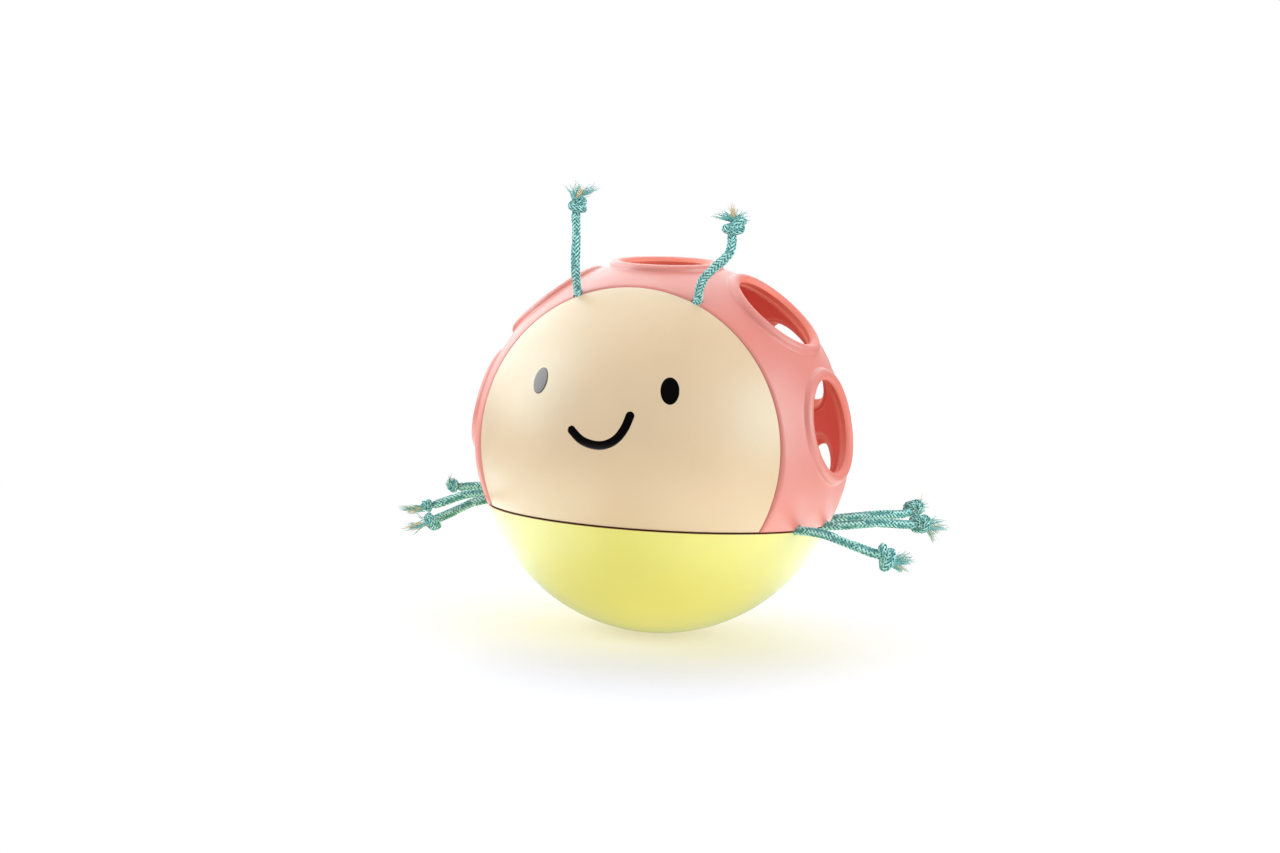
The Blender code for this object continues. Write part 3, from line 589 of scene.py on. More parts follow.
def build_bowl():
    """Bowl with a flat foot, softly rounded rim, boss and four screw posts."""
    rim = SEAM_Z - GAP / 2
    inner = BOWL_RADIUS - BOWL_WALL
    centre = (0.0, BOWL_CENTRE.z)
    boss_top = BALLAST_TOP - GAP
    foot_angle = -degrees(acos((FOOT_RADIUS + EDGE_ROUND) / BOWL_RADIUS))
    rim_angle = degrees(asin((rim - EDGE_ROUND - BOWL_CENTRE.z) / BOWL_RADIUS))
    inner_rim = degrees(asin((rim - BOWL_CENTRE.z) / inner))
    boss_angle = -degrees(acos(BALLAST_BOSS / inner))
    rim_width = depth_on_sphere(BOWL_RADIUS - EDGE_ROUND, rim - EDGE_ROUND - BOWL_CENTRE.z)
    profile = [(0.0, 0.0), (FOOT_RADIUS - EDGE_ROUND, 0.0), (FOOT_RADIUS, FOOT_LIFT)]
    profile += arc(centre, BOWL_RADIUS, foot_angle, rim_angle, BOWL_STEPS)
    profile += arc((rim_width, rim - EDGE_ROUND), EDGE_ROUND, rim_angle + ROUND_START, 90.0, ROUND_STEPS)
    profile += arc(centre, inner, inner_rim, boss_angle, INSIDE_STEPS)
    profile += [(BALLAST_BOSS, boss_top), (SCREW_BORE, boss_top), (SCREW_BORE, BOWL_WALL), (0.0, BOWL_WALL)]
    shell = smooth_mesh(turned(profile, about_z, LATHE_STEPS), "bowl")
    # The rim and the top of its rounding take the seam's painted shade
    for polygon in shell.polygons:
        polygon.material_index = int(polygon.center.z > rim - EDGE_ROUND * SEAM_SHADE_SHARE)

    reach = FRAME_RADIUS - BOWL_POST_INSET
    front = WALL_Y + FRAME_PLATE + FRONT_POST_BEHIND
    places = mirrored([(depth_on_sphere(reach, front), front), *on_circle(reach, [BACK_POST_ANGLE])])
    posts = []
    for x, y in places:
        base = BOWL_CENTRE.z - depth_on_sphere(BOWL_RADIUS - BOWL_WALL / 2, hypot(x, y) + POST_RADIUS)
        posts.append((Vector((x, y, base)), Vector((x, y, DECK_Z - GAP))))
    bowl = piece("bowl", with_posts(shell, posts), [BOWL_FINISH, SEAM_SHADE_FINISH])
    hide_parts("base_bowl")
    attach(bowl, "ball")


# Skins on the ball

def direction(polar, round_angle):
    """Unit vector at an angle from the face's axis (-Y) and an angle round it from the top."""
    p, r = radians(polar), radians(round_angle)
    return Vector((sin(p) * sin(r), -cos(p), sin(p) * cos(r)))


def rim_loop(front, low, front_radius, low_radius, side):
    """Closed rim about the ball's centre: an arch in the plane y = front, then a sweep in the plane z = low,
    round the back for side 1 and under the face for side -1."""
    arch_end = acos(low / front_radius)
    start = asin(front / low_radius)
    span = pi - 2 * start if side > 0 else -pi - 2 * start
    loop = []
    for i in range(ARCH_STEPS):
        angle = -arch_end + 2 * arch_end * i / ARCH_STEPS
        loop.append(Vector((front_radius * sin(angle), front, front_radius * cos(angle))))
    for i in range(SWEEP_STEPS):
        angle = start + span * i / SWEEP_STEPS
        loop.append(Vector((low_radius * cos(angle), low_radius * sin(angle), low)))
    return loop


def rounded_sections(radius, front, low, rounding, side):
    """Rim sections over a rounded edge, from the skin to the flat of the rim."""
    sections = []
    for i in range(ROUND_STEPS + 1):
        angle = pi / 2 * i / ROUND_STEPS
        inset = rounding * (1 - sin(angle))
        ball = radius - rounding * (1 - cos(angle))
        y = front + side * inset
        z = low + inset
        sections.append((y, z, depth_on_sphere(ball, y), depth_on_sphere(ball, z), side))
    return sections


def skin(bm, radius, rim, rings, front, low, side, finish=0):
    """Fills a spherical skin between its rim and the hole rings."""
    def flat(p):
        unit = p / p.length
        return Vector((unit.x, unit.z)) / (1 + side * unit.y)

    def lifted(q):
        s = q.length_squared
        return radius * Vector((2 * q.x, side * (1 - s), 2 * q.y)) / (1 + s)

    loops = [rim, *rings]
    points = [vert.co - BALL_CENTRE for loop in loops for vert in loop]
    verts = [vert for loop in loops for vert in loop]
    edges = []
    start = 0
    for loop in loops:
        edges += [(start + i, start + (i + 1) % len(loop)) for i in range(len(loop))]
        start += len(loop)
    discs = []
    for loop in rings:
        axis = sum((vert.co - BALL_CENTRE for vert in loop), Vector()).normalized()
        discs.append((axis, axis.angle(loop[0].co - BALL_CENTRE)))
    clear = radians(SKIN_STEP) * SKIN_MARGIN
    bands = round(180 / SKIN_STEP)
    for band in range(0 if side < 0 else 1, bands + 1):
        polar = 180 * band / bands
        count = max(1, round(360 * sin(radians(polar)) / SKIN_STEP))
        for i in range(count):
            spot = direction(polar, 360 * (i + 0.5 * (band % 2)) / count)
            inside = side * spot.y > side * front / radius + clear and spot.z > low / radius + clear
            if inside and all(spot.angle(axis) > size + clear for axis, size in discs):
                points.append(spot * radius)
    result = delaunay_2d_cdt([flat(p) for p in points], edges, [], 1, 1e-8)
    places, triangles, sources = result[0], result[2], result[3]
    made = []
    for place, source in zip(places, sources):
        known = [i for i in source if i < len(verts)]
        made.append(verts[known[0]] if known else bm.verts.new(BALL_CENTRE + lifted(place)))
    for triangle in triangles:
        middle = sum((made[i].co - BALL_CENTRE for i in triangle), Vector()).normalized()
        if all(middle.angle(axis) > size * HOLE_SHARE for axis, size in discs):
            bm.faces.new([made[i] for i in triangle]).material_index = finish


# Cage

def bead_foot(opening, tube=BEAD_TUBE, height=BEAD_HEIGHT):
    """Distance along the skin from a hole's axis to the foot of its bead."""
    return opening + tube + depth_on_sphere(tube + BEAD_FILLET, BEAD_FILLET + tube - height)


def row_of_holes(row, land, places):
    """Axes of a row's holes, counted from the top, with the land between their beads."""
    half = (bead_foot(HOLE_OPENING) + land / 2) / CAGE_RADIUS
    pitch = 2 * degrees(asin(sin(half) / sin(radians(row))))
    return [direction(row, pitch * place) for place in places]


def all_holes():
    """Every hole as (unit axis, opening radius)."""
    axes = row_of_holes(FRONT_ROW, FRONT_LAND, (-2, -1, 0, 1, 2))
    axes += row_of_holes(BACK_ROW, BACK_LAND, (-1, 0, 1))
    axes.append(Vector((0, 1, 0)))
    holes = [(axis, HOLE_OPENING) for axis in axes]
    seam = asin((RIM_Z - BALL_CENTRE.z) / CAGE_RADIUS)
    low = seam + (bead_foot(SMALL_HOLE_OPENING) + LOW_LAND) / CAGE_RADIUS
    turn = radians(SMALL_HOLE_TURN)
    for side in (1, -1):
        level = Vector((side * sin(turn), cos(turn), 0))
        holes.append((level * cos(low) + Vector((0, 0, sin(low))), SMALL_HOLE_OPENING))
    return holes


def half_bead(opening, tube, height):
    """Section of a bead from its foot on the skin to the hole's wall, as (distance, height over the skin)."""
    centre = opening + tube
    middle = height - tube
    foot = bead_foot(opening, tube, height)
    lean = degrees(atan2(BEAD_FILLET - middle, foot - centre))
    points = arc((foot, BEAD_FILLET), BEAD_FILLET, 270, 180 + lean, ROUND_STEPS)
    return points + arc((centre, middle), tube, lean, 180, BEAD_STEPS)[1:]


def bead_profile(opening):
    """Section of a hole's rim: distance from its axis, height over the skin, and whether on its wall."""
    outer = [(distance, height, height < CREST_SHARE * BEAD_HEIGHT and distance < opening + BEAD_TUBE)
             for distance, height in half_bead(opening, BEAD_TUBE, BEAD_HEIGHT)]
    inner = [(distance, -CAGE_WALL - height, True)
             for distance, height in half_bead(opening + INNER_FLARE, INNER_TUBE, INNER_BEAD)]
    return outer + inner[::-1]


def ring(axis, distance, height):
    """Ring of points round a hole's axis at a distance along the skin and a height over it."""
    angle = distance / CAGE_RADIUS
    side = axis.orthogonal().normalized()
    other = axis.cross(side)
    points = []
    for i in range(HOLE_STEPS):
        turn = tau * i / HOLE_STEPS
        across = side * cos(turn) + other * sin(turn)
        points.append((CAGE_RADIUS + height) * (axis * cos(angle) + across * sin(angle)))
    return points


def settle(bm):
    """Lets the soft cage swell over the seam and sit down at the top, without leaving its rim's planes."""
    for vert in bm.verts:
        spot = vert.co - BALL_CENTRE
        unit = spot.normalized()
        off = (unit.z - BULGE_HEIGHT) / BULGE_WIDTH
        move = unit * (CAGE_BULGE * exp(-off * off) - CAGE_SAG * max(0.0, unit.z) ** 2)
        move.y *= min(1.0, max(0.0, spot.y - RIM_Y) / SETTLE_REACH)
        move.z *= min(1.0, max(0.0, vert.co.z - RIM_Z) / SETTLE_REACH)
        vert.co += move


def build_cage():
    """Soft cage: two skins, a rounded bead round each hole and a clamped flange round the rim."""
    bm = bmesh.new()
    back_y = RIM_Y + FLANGE_THICK
    drop = RIM_Z - BALL_CENTRE.z
    top_drop = drop + FLANGE_THICK
    arch_radius = depth_on_sphere(CAGE_INSIDE, back_y) - FLANGE_REACH
    sweep_radius = sqrt(arch_radius ** 2 - drop ** 2 + RIM_Y ** 2)
    back_radius = sqrt(sweep_radius ** 2 - back_y ** 2 + top_drop ** 2)
    sections = rounded_sections(CAGE_RADIUS, RIM_Y, drop, CAGE_ROUND, 1)
    sections += [
        (RIM_Y, drop, arch_radius, sweep_radius, 1),
        (back_y, top_drop, back_radius, sweep_radius, 1),
        (back_y, top_drop, depth_on_sphere(CAGE_INSIDE, back_y), depth_on_sphere(CAGE_INSIDE, top_drop), 1),
    ]
    rims = [new_loop(bm, rim_loop(*section)) for section in sections]
    outer_rings = []
    inner_rings = []
    for axis, opening in all_holes():
        profile = bead_profile(opening)
        loops = [new_loop(bm, ring(axis, distance, height)) for distance, height, _ in profile]
        # Faces on a hole's wall take the finish painted with bounce light below the skin
        bridge(bm, loops, [int(on_wall) for _, _, on_wall in profile])
        outer_rings.append(loops[0])
        inner_rings.append(loops[-1])
    bridge(bm, rims)
    skin(bm, CAGE_RADIUS, rims[0], outer_rings, RIM_Y + CAGE_ROUND, drop + CAGE_ROUND, 1)
    # The inner skin is painted the deep red that stands in for light bouncing inside the cage
    skin(bm, CAGE_INSIDE, rims[-1], inner_rings, back_y, top_drop, 1, finish=2)
    settle(bm)
    shell = carved(smooth_mesh(bm, "soft_cage"), [("DIFFERENCE", cord_bores())])
    cage = piece("soft_cage", shell, [CAGE_FINISH, WALL_BOUNCE_FINISH, HOLLOW_BOUNCE_FINISH])
    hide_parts("cage")
    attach(cage, "ball")


# Face

EYE_PLACES = {"left": Vector((-0.374, -0.867, 0.331)), "right": Vector((0.333, -0.883, 0.329))}
EYE_HALF = (0.00275, 0.00412)
EYE_LEAN = {"left": 8.0, "right": 2.0}
SMILE = [(-0.159, -0.981, 0.115), (-0.078, -0.995, 0.053), (0.015, -0.999, 0.036), (0.090, -0.993, 0.064),
         (0.138, -0.982, 0.127), (0.166, -0.963, 0.216)]
SMILE_HALF = 0.00128
PRINT_LIFT = 0.00006         # height of the ink over the skin, at its edge and under it
PRINT_EDGE = 0.8 * PRINT_LIFT
PRINT_SINK = 0.00012
EYE_STEPS = 64
SMILE_STEP = 0.0003
SMILE_END = 0.0025           # least square of the stroke's width at its ends, in shares of its full width


def build_face():
    """Face shell: a spherical cap cut level at the seam, rounded edges, four screw posts inside."""
    bm = bmesh.new()
    front = -FACE_FORWARD - GAP / 2
    low = RIM_Z - BALL_CENTRE.z
    inner = FACE_RADIUS - FACE_WALL
    sections = rounded_sections(FACE_RADIUS, front, low, EDGE_ROUND, -1)
    sections.append((front, low, depth_on_sphere(inner, front), depth_on_sphere(inner, low), -1))
    rims = [new_loop(bm, rim_loop(*section)) for section in sections]
    # The rim's flat and the last step of its rounding take the seam's painted shade
    bridge(bm, rims, [int(i >= len(rims) - SEAM_SHADE_BANDS) for i in range(len(rims))])
    skin(bm, FACE_RADIUS, rims[0], [], front - EDGE_ROUND, low + EDGE_ROUND, -1)
    skin(bm, inner, rims[-1], [], front, low, -1)
    shell = smooth_mesh(bm, "face")
    posts = []
    for up, aside in on_circle(WALL_RADIUS - FACE_POST_INSET, FACE_POST_ANGLES):
        depth = depth_on_sphere(FACE_RADIUS - FACE_WALL / 2, hypot(up, aside) + POST_RADIUS)
        for x in (aside, -aside):
            posts.append([Vector((x, y, BALL_CENTRE.z + up)) for y in (-depth, WALL_Y - GAP)])
    face = piece("face", with_posts(shell, posts), [FACE_FINISH, SEAM_SHADE_FINISH])
    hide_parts("face_shell")
    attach(face, "ball")


def on_face(unit, lift):
    """Point on the face's skin along a direction, with a height over it."""
    return BALL_CENTRE + unit.normalized() * (FACE_RADIUS + lift)


def build_eye(side):
    """Printed oval eye, a thin domed film of ink."""
    axis = EYE_PLACES[side].normalized()
    right = Vector((0, 0, 1)).cross(axis).normalized() * -1
    up = axis.cross(right) * -1
    lean = radians(EYE_LEAN[side])
    along = right * cos(lean) - up * sin(lean)
    tall = right * sin(lean) + up * cos(lean)
    rings = [(share, PRINT_LIFT) for share in (0.0, 0.3, 0.6, 0.85)]
    rings += [(0.96, PRINT_EDGE), (1.0, 0.0)]
    rings += [(share, -PRINT_SINK) for share in (0.99, 0.5, 0.0)]

    def place(share, lift, angle):
        a = share * EYE_HALF[0] * cos(angle)
        b = share * EYE_HALF[1] * sin(angle)
        return on_face(axis * FACE_RADIUS + along * a + tall * b, lift)
    eye = piece(f"eye_{side}", smooth_mesh(turned(rings, place, EYE_STEPS), "eye"), [PRINT_FINISH])
    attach(eye, "ball")


def build_smile():
    """Printed mouth, a stroke with round ends."""
    line = smooth_line([Vector(p) * FACE_RADIUS for p in SMILE], SMILE_STEP)
    bm = bmesh.new()
    section = [(1.0, 0.0), (0.93, PRINT_EDGE), (0.7, PRINT_LIFT), (0.0, PRINT_LIFT), (-0.7, PRINT_LIFT),
               (-0.93, PRINT_EDGE), (-1.0, 0.0), (-0.9, -PRINT_SINK), (0.9, -PRINT_SINK)]
    step = (line[1] - line[0]).length
    loops = []
    for i, point in enumerate(line):
        run = (line[min(i + 1, len(line) - 1)] - line[max(i - 1, 0)]).normalized()
        across = point.normalized().cross(run)
        from_end = min(i, len(line) - 1 - i) * step
        short = max(0.0, 1 - from_end / SMILE_HALF)
        half = SMILE_HALF * sqrt(max(SMILE_END, 1 - short ** 2))
        loops.append([bm.verts.new(on_face(point + across * half * share, lift)) for share, lift in section])
    bridge(bm, loops)
    bm.faces.new(loops[0])
    bm.faces.new(loops[-1])
    smile = piece("smile", smooth_mesh(bm, "smile"), [PRINT_FINISH])
    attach(smile, "ball")


# Lines of the cords

CURVE_STEPS = 20             # between two points of a route

# Overhand knot in cord diameters: a loose curve, then rounds of pushing apart and easing until it is tight
KNOT_SPAN = 2.15
KNOT_SIZE = 0.55
KNOT_DEPTH = 0.42
LOOSE_POINTS = 400
KNOT_POINTS = 140
KNOT_ROUNDS = 720
KNOT_APART = 1.35            # points nearer than this along the cord don't push each other
KNOT_PUSH = 0.25
KNOT_STRIDE = 0.1
KNOT_EASE = 0.45


def run_along(line):
    """Distance along a line to each of its points."""
    return np.concatenate([[0.0], np.cumsum(np.linalg.norm(np.diff(line, axis=0), axis=1))])


def evenly(line, count):
    """The line as a number of evenly spaced points."""
    along = run_along(line)
    wanted = np.linspace(0.0, along[-1], count)
    return np.stack([np.interp(wanted, along, line[:, k]) for k in range(3)], axis=1)


def smooth_line(points, spacing):
    """Even points on a smooth curve through the route's own points."""
    knots = [Vector(p) for p in points]
    padded = [2 * knots[0] - knots[1], *knots, 2 * knots[-1] - knots[-2]]
    fine = []
    for i in range(1, len(padded) - 2):
        a, b, c, d = padded[i - 1:i + 3]
        for k in range(CURVE_STEPS):
            t = k / CURVE_STEPS
            fine.append(0.5 * (2 * b + (c - a) * t + (2 * a - 5 * b + 4 * c - d) * t ** 2
                               + (3 * b - a - 3 * c + d) * t ** 3))
    fine = np.array([*fine, knots[-1]])
    count = max(3, round(run_along(fine)[-1] / spacing) + 1)
    return [Vector(p) for p in evenly(fine, count)]


def overhand_knot():
    """Middle line of a tight overhand knot in a cord of diameter 1, entering and leaving along +Z."""
    t = np.linspace(-KNOT_SPAN, KNOT_SPAN, LOOSE_POINTS)
    loose = np.stack([t ** 3 - 3 * t, t ** 4 - 4 * t ** 2, KNOT_DEPTH * (t ** 5 - 10 * t)], axis=1)
    loose = KNOT_SIZE * loose
    wanted = np.linspace(0, 1, KNOT_POINTS)
    known = np.linspace(0, 1, LOOSE_POINTS)
    line = np.stack([np.interp(wanted, known, loose[:, k]) for k in range(3)], axis=1)
    order = np.arange(KNOT_POINTS)
    for _ in range(KNOT_ROUNDS):
        step = np.linalg.norm(np.diff(line, axis=0), axis=1).mean()
        far = np.abs(order[:, None] - order[None]) > ceil(KNOT_APART / step)
        apart = line[:, None] - line[None]
        distance = np.linalg.norm(apart, axis=2) + 1e-9
        push = np.where(far & (distance < 1.0), (1.0 - distance) / distance, 0.0)
        move = KNOT_PUSH * (push[:, :, None] * apart).sum(axis=1)
        size = np.linalg.norm(move, axis=1, keepdims=True)
        move *= np.minimum(1.0, KNOT_STRIDE / np.maximum(size, 1e-12))
        ease = np.zeros_like(line)
        ease[1:-1] = 0.5 * (line[:-2] + line[2:]) - line[1:-1]
        line = line + move + KNOT_EASE * ease
        line[[0, -1], :2] = 0.0
        line = evenly(line, KNOT_POINTS)
    return line


KNOT_LINE = overhand_knot()
KNOT_IN = -1.30              # where the knot's line starts and ends along its axis, in cord diameters
KNOT_OUT = 0.95
KNOT_SHIFT = 0.45            # moves the knot's bulk onto the cord's line
KNOT_SHORT = 0.80            # a pulled knot is pressed short, and its cord fills its own gaps
KNOT_FULL = 1.20
KNOT_LEAD = 0.0008           # way from the cord's last plain point into the knot
KNOT_NECK = 0.85             # where the cord is drawn thin, in cord diameters from the knot's middle


def placed_knot(middle, axis, turn, diameter):
    """Points of a tight knot's middle line, from where the cord enters it to where it leaves it."""
    rows = np.arange(len(KNOT_LINE))
    half = len(KNOT_LINE) // 2
    first = rows[(rows < half) & (KNOT_LINE[:, 2] * KNOT_SHORT > KNOT_IN)][0]
    last = rows[(rows > half) & (KNOT_LINE[:, 2] * KNOT_SHORT < KNOT_OUT)][-1]
    spin = axis.to_track_quat("Z", "Y") @ Quaternion((0, 0, 1), radians(turn))
    points = []
    for x, y, z in KNOT_LINE[first:last + 1:2]:
        spot = Vector((x, y + KNOT_SHIFT, z * KNOT_SHORT))
        points.append(middle + spin @ (spot * diameter))
    return points


# Braided cords

def unit_rows(rows):
    """The rows, each with length 1."""
    return rows / np.linalg.norm(rows, axis=1, keepdims=True)


def carried_frames(line):
    """Tangents and side vectors carried along a line without twist."""
    tangent = unit_rows(np.gradient(line, axis=0))
    side = np.zeros_like(line)
    helper = np.array([0.0, 0.0, 1.0]) if abs(tangent[0, 2]) < 0.9 else np.array([1.0, 0.0, 0.0])
    side[0] = np.cross(tangent[0], helper)
    side[0] /= np.linalg.norm(side[0])
    for i in range(1, len(line)):
        side[i] = side[i - 1] - tangent[i] * (side[i - 1] @ tangent[i])
        side[i] /= np.linalg.norm(side[i])
    return tangent, side, np.cross(tangent, side)


class Yarns:
    """Tubes of yarn gathered for one mesh, with the values that their material reads."""

    def __init__(self):
        self.points, self.faces, self.yarn, self.tone, self.kinds = [], [], [], [], []
        self.count = 0

    def add(self, centres, across, outward, tone, height, kind=0, sides=STRAND_SIDES):
        """One tube with an oval section; across and outward are its half axes at each point."""
        angles = tau * np.arange(sides) / sides
        ring = (centres[:, None] + np.cos(angles)[None, :, None] * across[:, None]
                + np.sin(angles)[None, :, None] * outward[:, None])
        along = run_along(centres) * 1000
        rows, total = len(centres), len(centres) * sides
        around = [np.tile(wave(angles), rows) for wave in (np.cos, np.sin)]
        yarn = np.stack([np.repeat(along, sides), *around], axis=1)
        # The height goes to the material, which paints light on high strands and shade on low ones
        tones = np.stack([np.full(total, tone), np.repeat(height, sides), np.zeros(total)], axis=1)
        start = self.count
        for i in range(rows - 1):
            for k in range(sides):
                a, b = start + i * sides + k, start + i * sides + (k + 1) % sides
                self.faces.append((a, b, b + sides, a + sides))
        self.faces.append(tuple(start + k for k in reversed(range(sides))))
        self.faces.append(tuple(start + total - sides + k for k in range(sides)))
        self.kinds += [kind] * ((rows - 1) * sides + 2)
        self.points.append(ring.reshape(-1, 3))
        self.yarn.append(yarn)
        self.tone.append(tones)
        self.count += total

    def mesh(self, name):
        """The gathered tubes as one smooth mesh."""
        data = bpy.data.meshes.new(name)
        data.from_pydata(np.concatenate(self.points).tolist(), [], self.faces)
        for key, rows in (("yarn", self.yarn), ("tone", self.tone)):
            layer = data.attributes.new(key, "FLOAT_VECTOR", "POINT")
            layer.data.foreach_set("vector", np.concatenate(rows).astype(np.float32).ravel())
        data.polygons.foreach_set("material_index", self.kinds)
        data.shade_smooth()
        return data


class Braid:
    """A braided cord along a line; share scales its thickness at each point."""

    def __init__(self, line, share, tones):
        self.line = line
        self.share = share
        self.tangent, self.side, self.other = carried_frames(line)
        along = run_along(line)
        crossings = 2 * STRANDS * along / BRAID_PITCH
        self.strands = []
        for way in (1, -1):
            for i in range(STRANDS):
                angle = tau * i / STRANDS + way * tau * along / BRAID_PITCH
                phase = way * crossings + 2 * i - 0.5
                height = way * np.cos(pi / 2 * phase)
                out = np.cos(angle)[:, None] * self.side + np.sin(angle)[:, None] * self.other
                centre = line + (share * (BRAID_MEAN + BRAID_WAVE * height))[:, None] * out
                run = unit_rows(np.gradient(centre, axis=0))
                across = unit_rows(np.cross(run, out))
                outward = np.cross(across, run)
                self.strands.append((centre, across, outward, tones[len(self.strands)], 0.5 + 0.5 * height))

    def mesh(self, name, first, last):
        """The stretch between two rows of the line, strands over a plain core."""
        rows = slice(first, last + 1)
        yarns = Yarns()
        share = self.share[rows, None]
        for centre, across, outward, tone, height in self.strands:
            yarns.add(centre[rows], across[rows] * STRAND_HALF_WIDTH * share,
                      outward[rows] * STRAND_HALF_THICK * share, tone, height[rows])
        core = CORE_RADIUS * share
        yarns.add(self.line[rows], self.side[rows] * core, self.other[rows] * core, 0.0,
                  np.zeros(last + 1 - first), sides=CORE_SIDES)
        return yarns.mesh(name)


# How each knot is turned round its cord in degrees and how tight its cord is drawn, in metres
KNOTS = {
    "antenna_left": (240.0, 0.0019), "antenna_right": (235.0, 0.0022), "leg_right_front": (205.0, 0.0024),
    "leg_right_mid": (172.0, 0.0020), "leg_right_back": (170.0, 0.0018), "leg_left_front": (60.0, 0.0019),
    "leg_left_mid": (180.0, 0.0014), "leg_left_back": (180.0, 0.0015),
}
STOP_KNOT = (40.0, 0.0019)

# Yarns from each strand of a frayed end, and its locks in millimetres from the knot's middle: right, up and
# toward in the picture, then the lock's share
TUFTS = {
    "antenna_left": (5, [(-2.5, 5.8, 0.5, 0.20), (-0.8, 6.3, 0.0, 0.15), (1.2, 6.8, -0.5, 0.20),
                         (3.8, 6.0, 0.5, 0.20), (6.2, 5.2, 0.5, 0.25)]),
    "antenna_right": (5, [(-5.2, 3.6, 0.5, 0.25), (-3.0, 4.6, 0.8, 0.15), (0.2, 4.6, -0.5, 0.20),
                          (3.6, 3.6, 0.8, 0.20), (4.4, 1.8, 1.0, 0.20)]),
    "leg_right_front": (6, [(7.3, 1.8, 1.0, 0.15), (8.4, 0.4, 0.8, 0.25), (8.0, -1.4, 0.4, 0.20),
                            (6.6, -3.6, 0.2, 0.20), (5.0, -4.0, 1.0, 0.20)]),
    "leg_right_mid": (6, [(6.5, 1.9, -2.5, 0.20), (7.8, 0.6, -3.0, 0.20), (8.7, -0.9, -3.0, 0.20),
                          (6.4, -2.6, -2.5, 0.15), (4.8, -4.8, -2.0, 0.25)]),
    "leg_right_back": (4, [(3.3, 2.8, -4.5, 0.5), (4.3, 0.8, -4.5, 0.3), (3.8, -0.8, -4.0, 0.2)]),
    "leg_left_front": (2, [(-8.2, -2.6, 3.0, 0.3), (-7.0, -1.2, 3.2, 0.25), (-5.6, -3.6, 2.5, 0.2),
                           (-4.8, 2.2, 2.5, 0.25)]),
    "leg_left_mid": (3, [(-8.4, -0.8, 1.0, 0.4), (-7.0, -1.6, 1.0, 0.35), (-6.2, 0.2, 1.0, 0.25)]),
    "leg_left_back": (4, [(-0.6, 3.6, 0.5, 0.4), (0.4, 3.2, 0.0, 0.2), (-1.6, 2.2, 0.5, 0.25),
                          (-1.8, 0.6, 0.5, 0.15)]),
}

# Tips of the pale core yarns where they don't follow the locks, in the same directions
CORE_TIPS = {"antenna_left": (2.0, 5.6, 2.2), "antenna_right": (-0.4, 6.2, 2.2)}
CORE_YARNS = 24
CORE_TONES = (0.3, 1.0)

# Yarns of a frayed end
YARN_RADIUS = 0.00014
YARN_ROWS = 12
YARN_SIDES = 4
TUFT_SPREAD = 0.0007         # how far a yarn strays from its lock's tip, and from its strand at the knot
ROOT_SPREAD = 0.0003
YARN_REACH = (0.60, 1.08)    # how much of the way to its tip it goes
YARN_LEAVING = 0.18          # its bends in shares of that way: along the cord, to the tip, and off the knot
YARN_TURNING = 0.15
YARN_FANNING = 0.3
YARN_WAVES = (0.0016, 0.0028)
YARN_SWING = 0.00016
YARN_SIZES = (0.8, 1.25)     # in shares of its radius, and how much of it the tip loses
YARN_TAPER = 0.70
YARN_HEIGHTS = (0.25, 0.95)  # from in shade at the knot to in the light at the tip


def build_tuft(name, braid, last, middle, random):
    """Frayed end: the strands' yarns fan out in locks, a few pale core yarns among them."""
    yarns = Yarns()
    yarns_in_strand, locks = TUFTS[name]
    shares = np.array([lock[3] for lock in locks])
    leaving = braid.tangent[last]
    starts = [(strand[0][last], 0, strand[3]) for strand in braid.strands for _ in range(yarns_in_strand)]
    starts += [(braid.line[last], 1, random.uniform(*CORE_TONES)) for _ in range(CORE_YARNS)]
    root = np.array(middle)
    t = np.linspace(0.0, 1.0, YARN_ROWS)[:, None]
    # Painted shade at the knot turning to painted light at the tip
    heights = np.linspace(*YARN_HEIGHTS, YARN_ROWS)
    for start, kind, tone in starts:
        lock = locks[random.choice(len(locks), p=shares / shares.sum())]
        if kind == 1:
            lock = CORE_TIPS.get(name, lock)
        tip = np.array(middle + CAMERA_TURN @ (Vector(lock[:3]) / 1000))
        tip = tip + random.normal(0.0, TUFT_SPREAD, 3)
        start = start + random.normal(0.0, ROOT_SPREAD, 3)
        tip = start + (tip - start) * random.uniform(*YARN_REACH)
        reach = np.linalg.norm(tip - start)
        first = start + leaving * reach * YARN_LEAVING + (tip - start) * YARN_TURNING
        second = tip - (tip - root) / np.linalg.norm(tip - root) * reach * YARN_FANNING
        second = second + random.normal(0.0, TUFT_SPREAD / 2, 3)
        line = (1 - t) ** 3 * start + 3 * (1 - t) ** 2 * t * first
        line = line + 3 * (1 - t) * t ** 2 * second + t ** 3 * tip
        _, side, other = carried_frames(line)
        wave = tau * t * reach / random.uniform(*YARN_WAVES) + random.uniform(0.0, tau)
        line = line + t * YARN_SWING * (np.cos(wave) * side + np.sin(wave) * other)
        radius = YARN_RADIUS * random.uniform(*YARN_SIZES) * (1.0 - YARN_TAPER * t ** 2)
        yarns.add(line, side * radius, other * radius, tone, heights, kind, YARN_SIDES)
    tuft = piece(name + "_fray", yarns.mesh(name + "_fray"), [FRAY_FINISH, CORE_FINISH])
    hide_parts(name + "_tuft")
    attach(tuft, name)
    return tuft


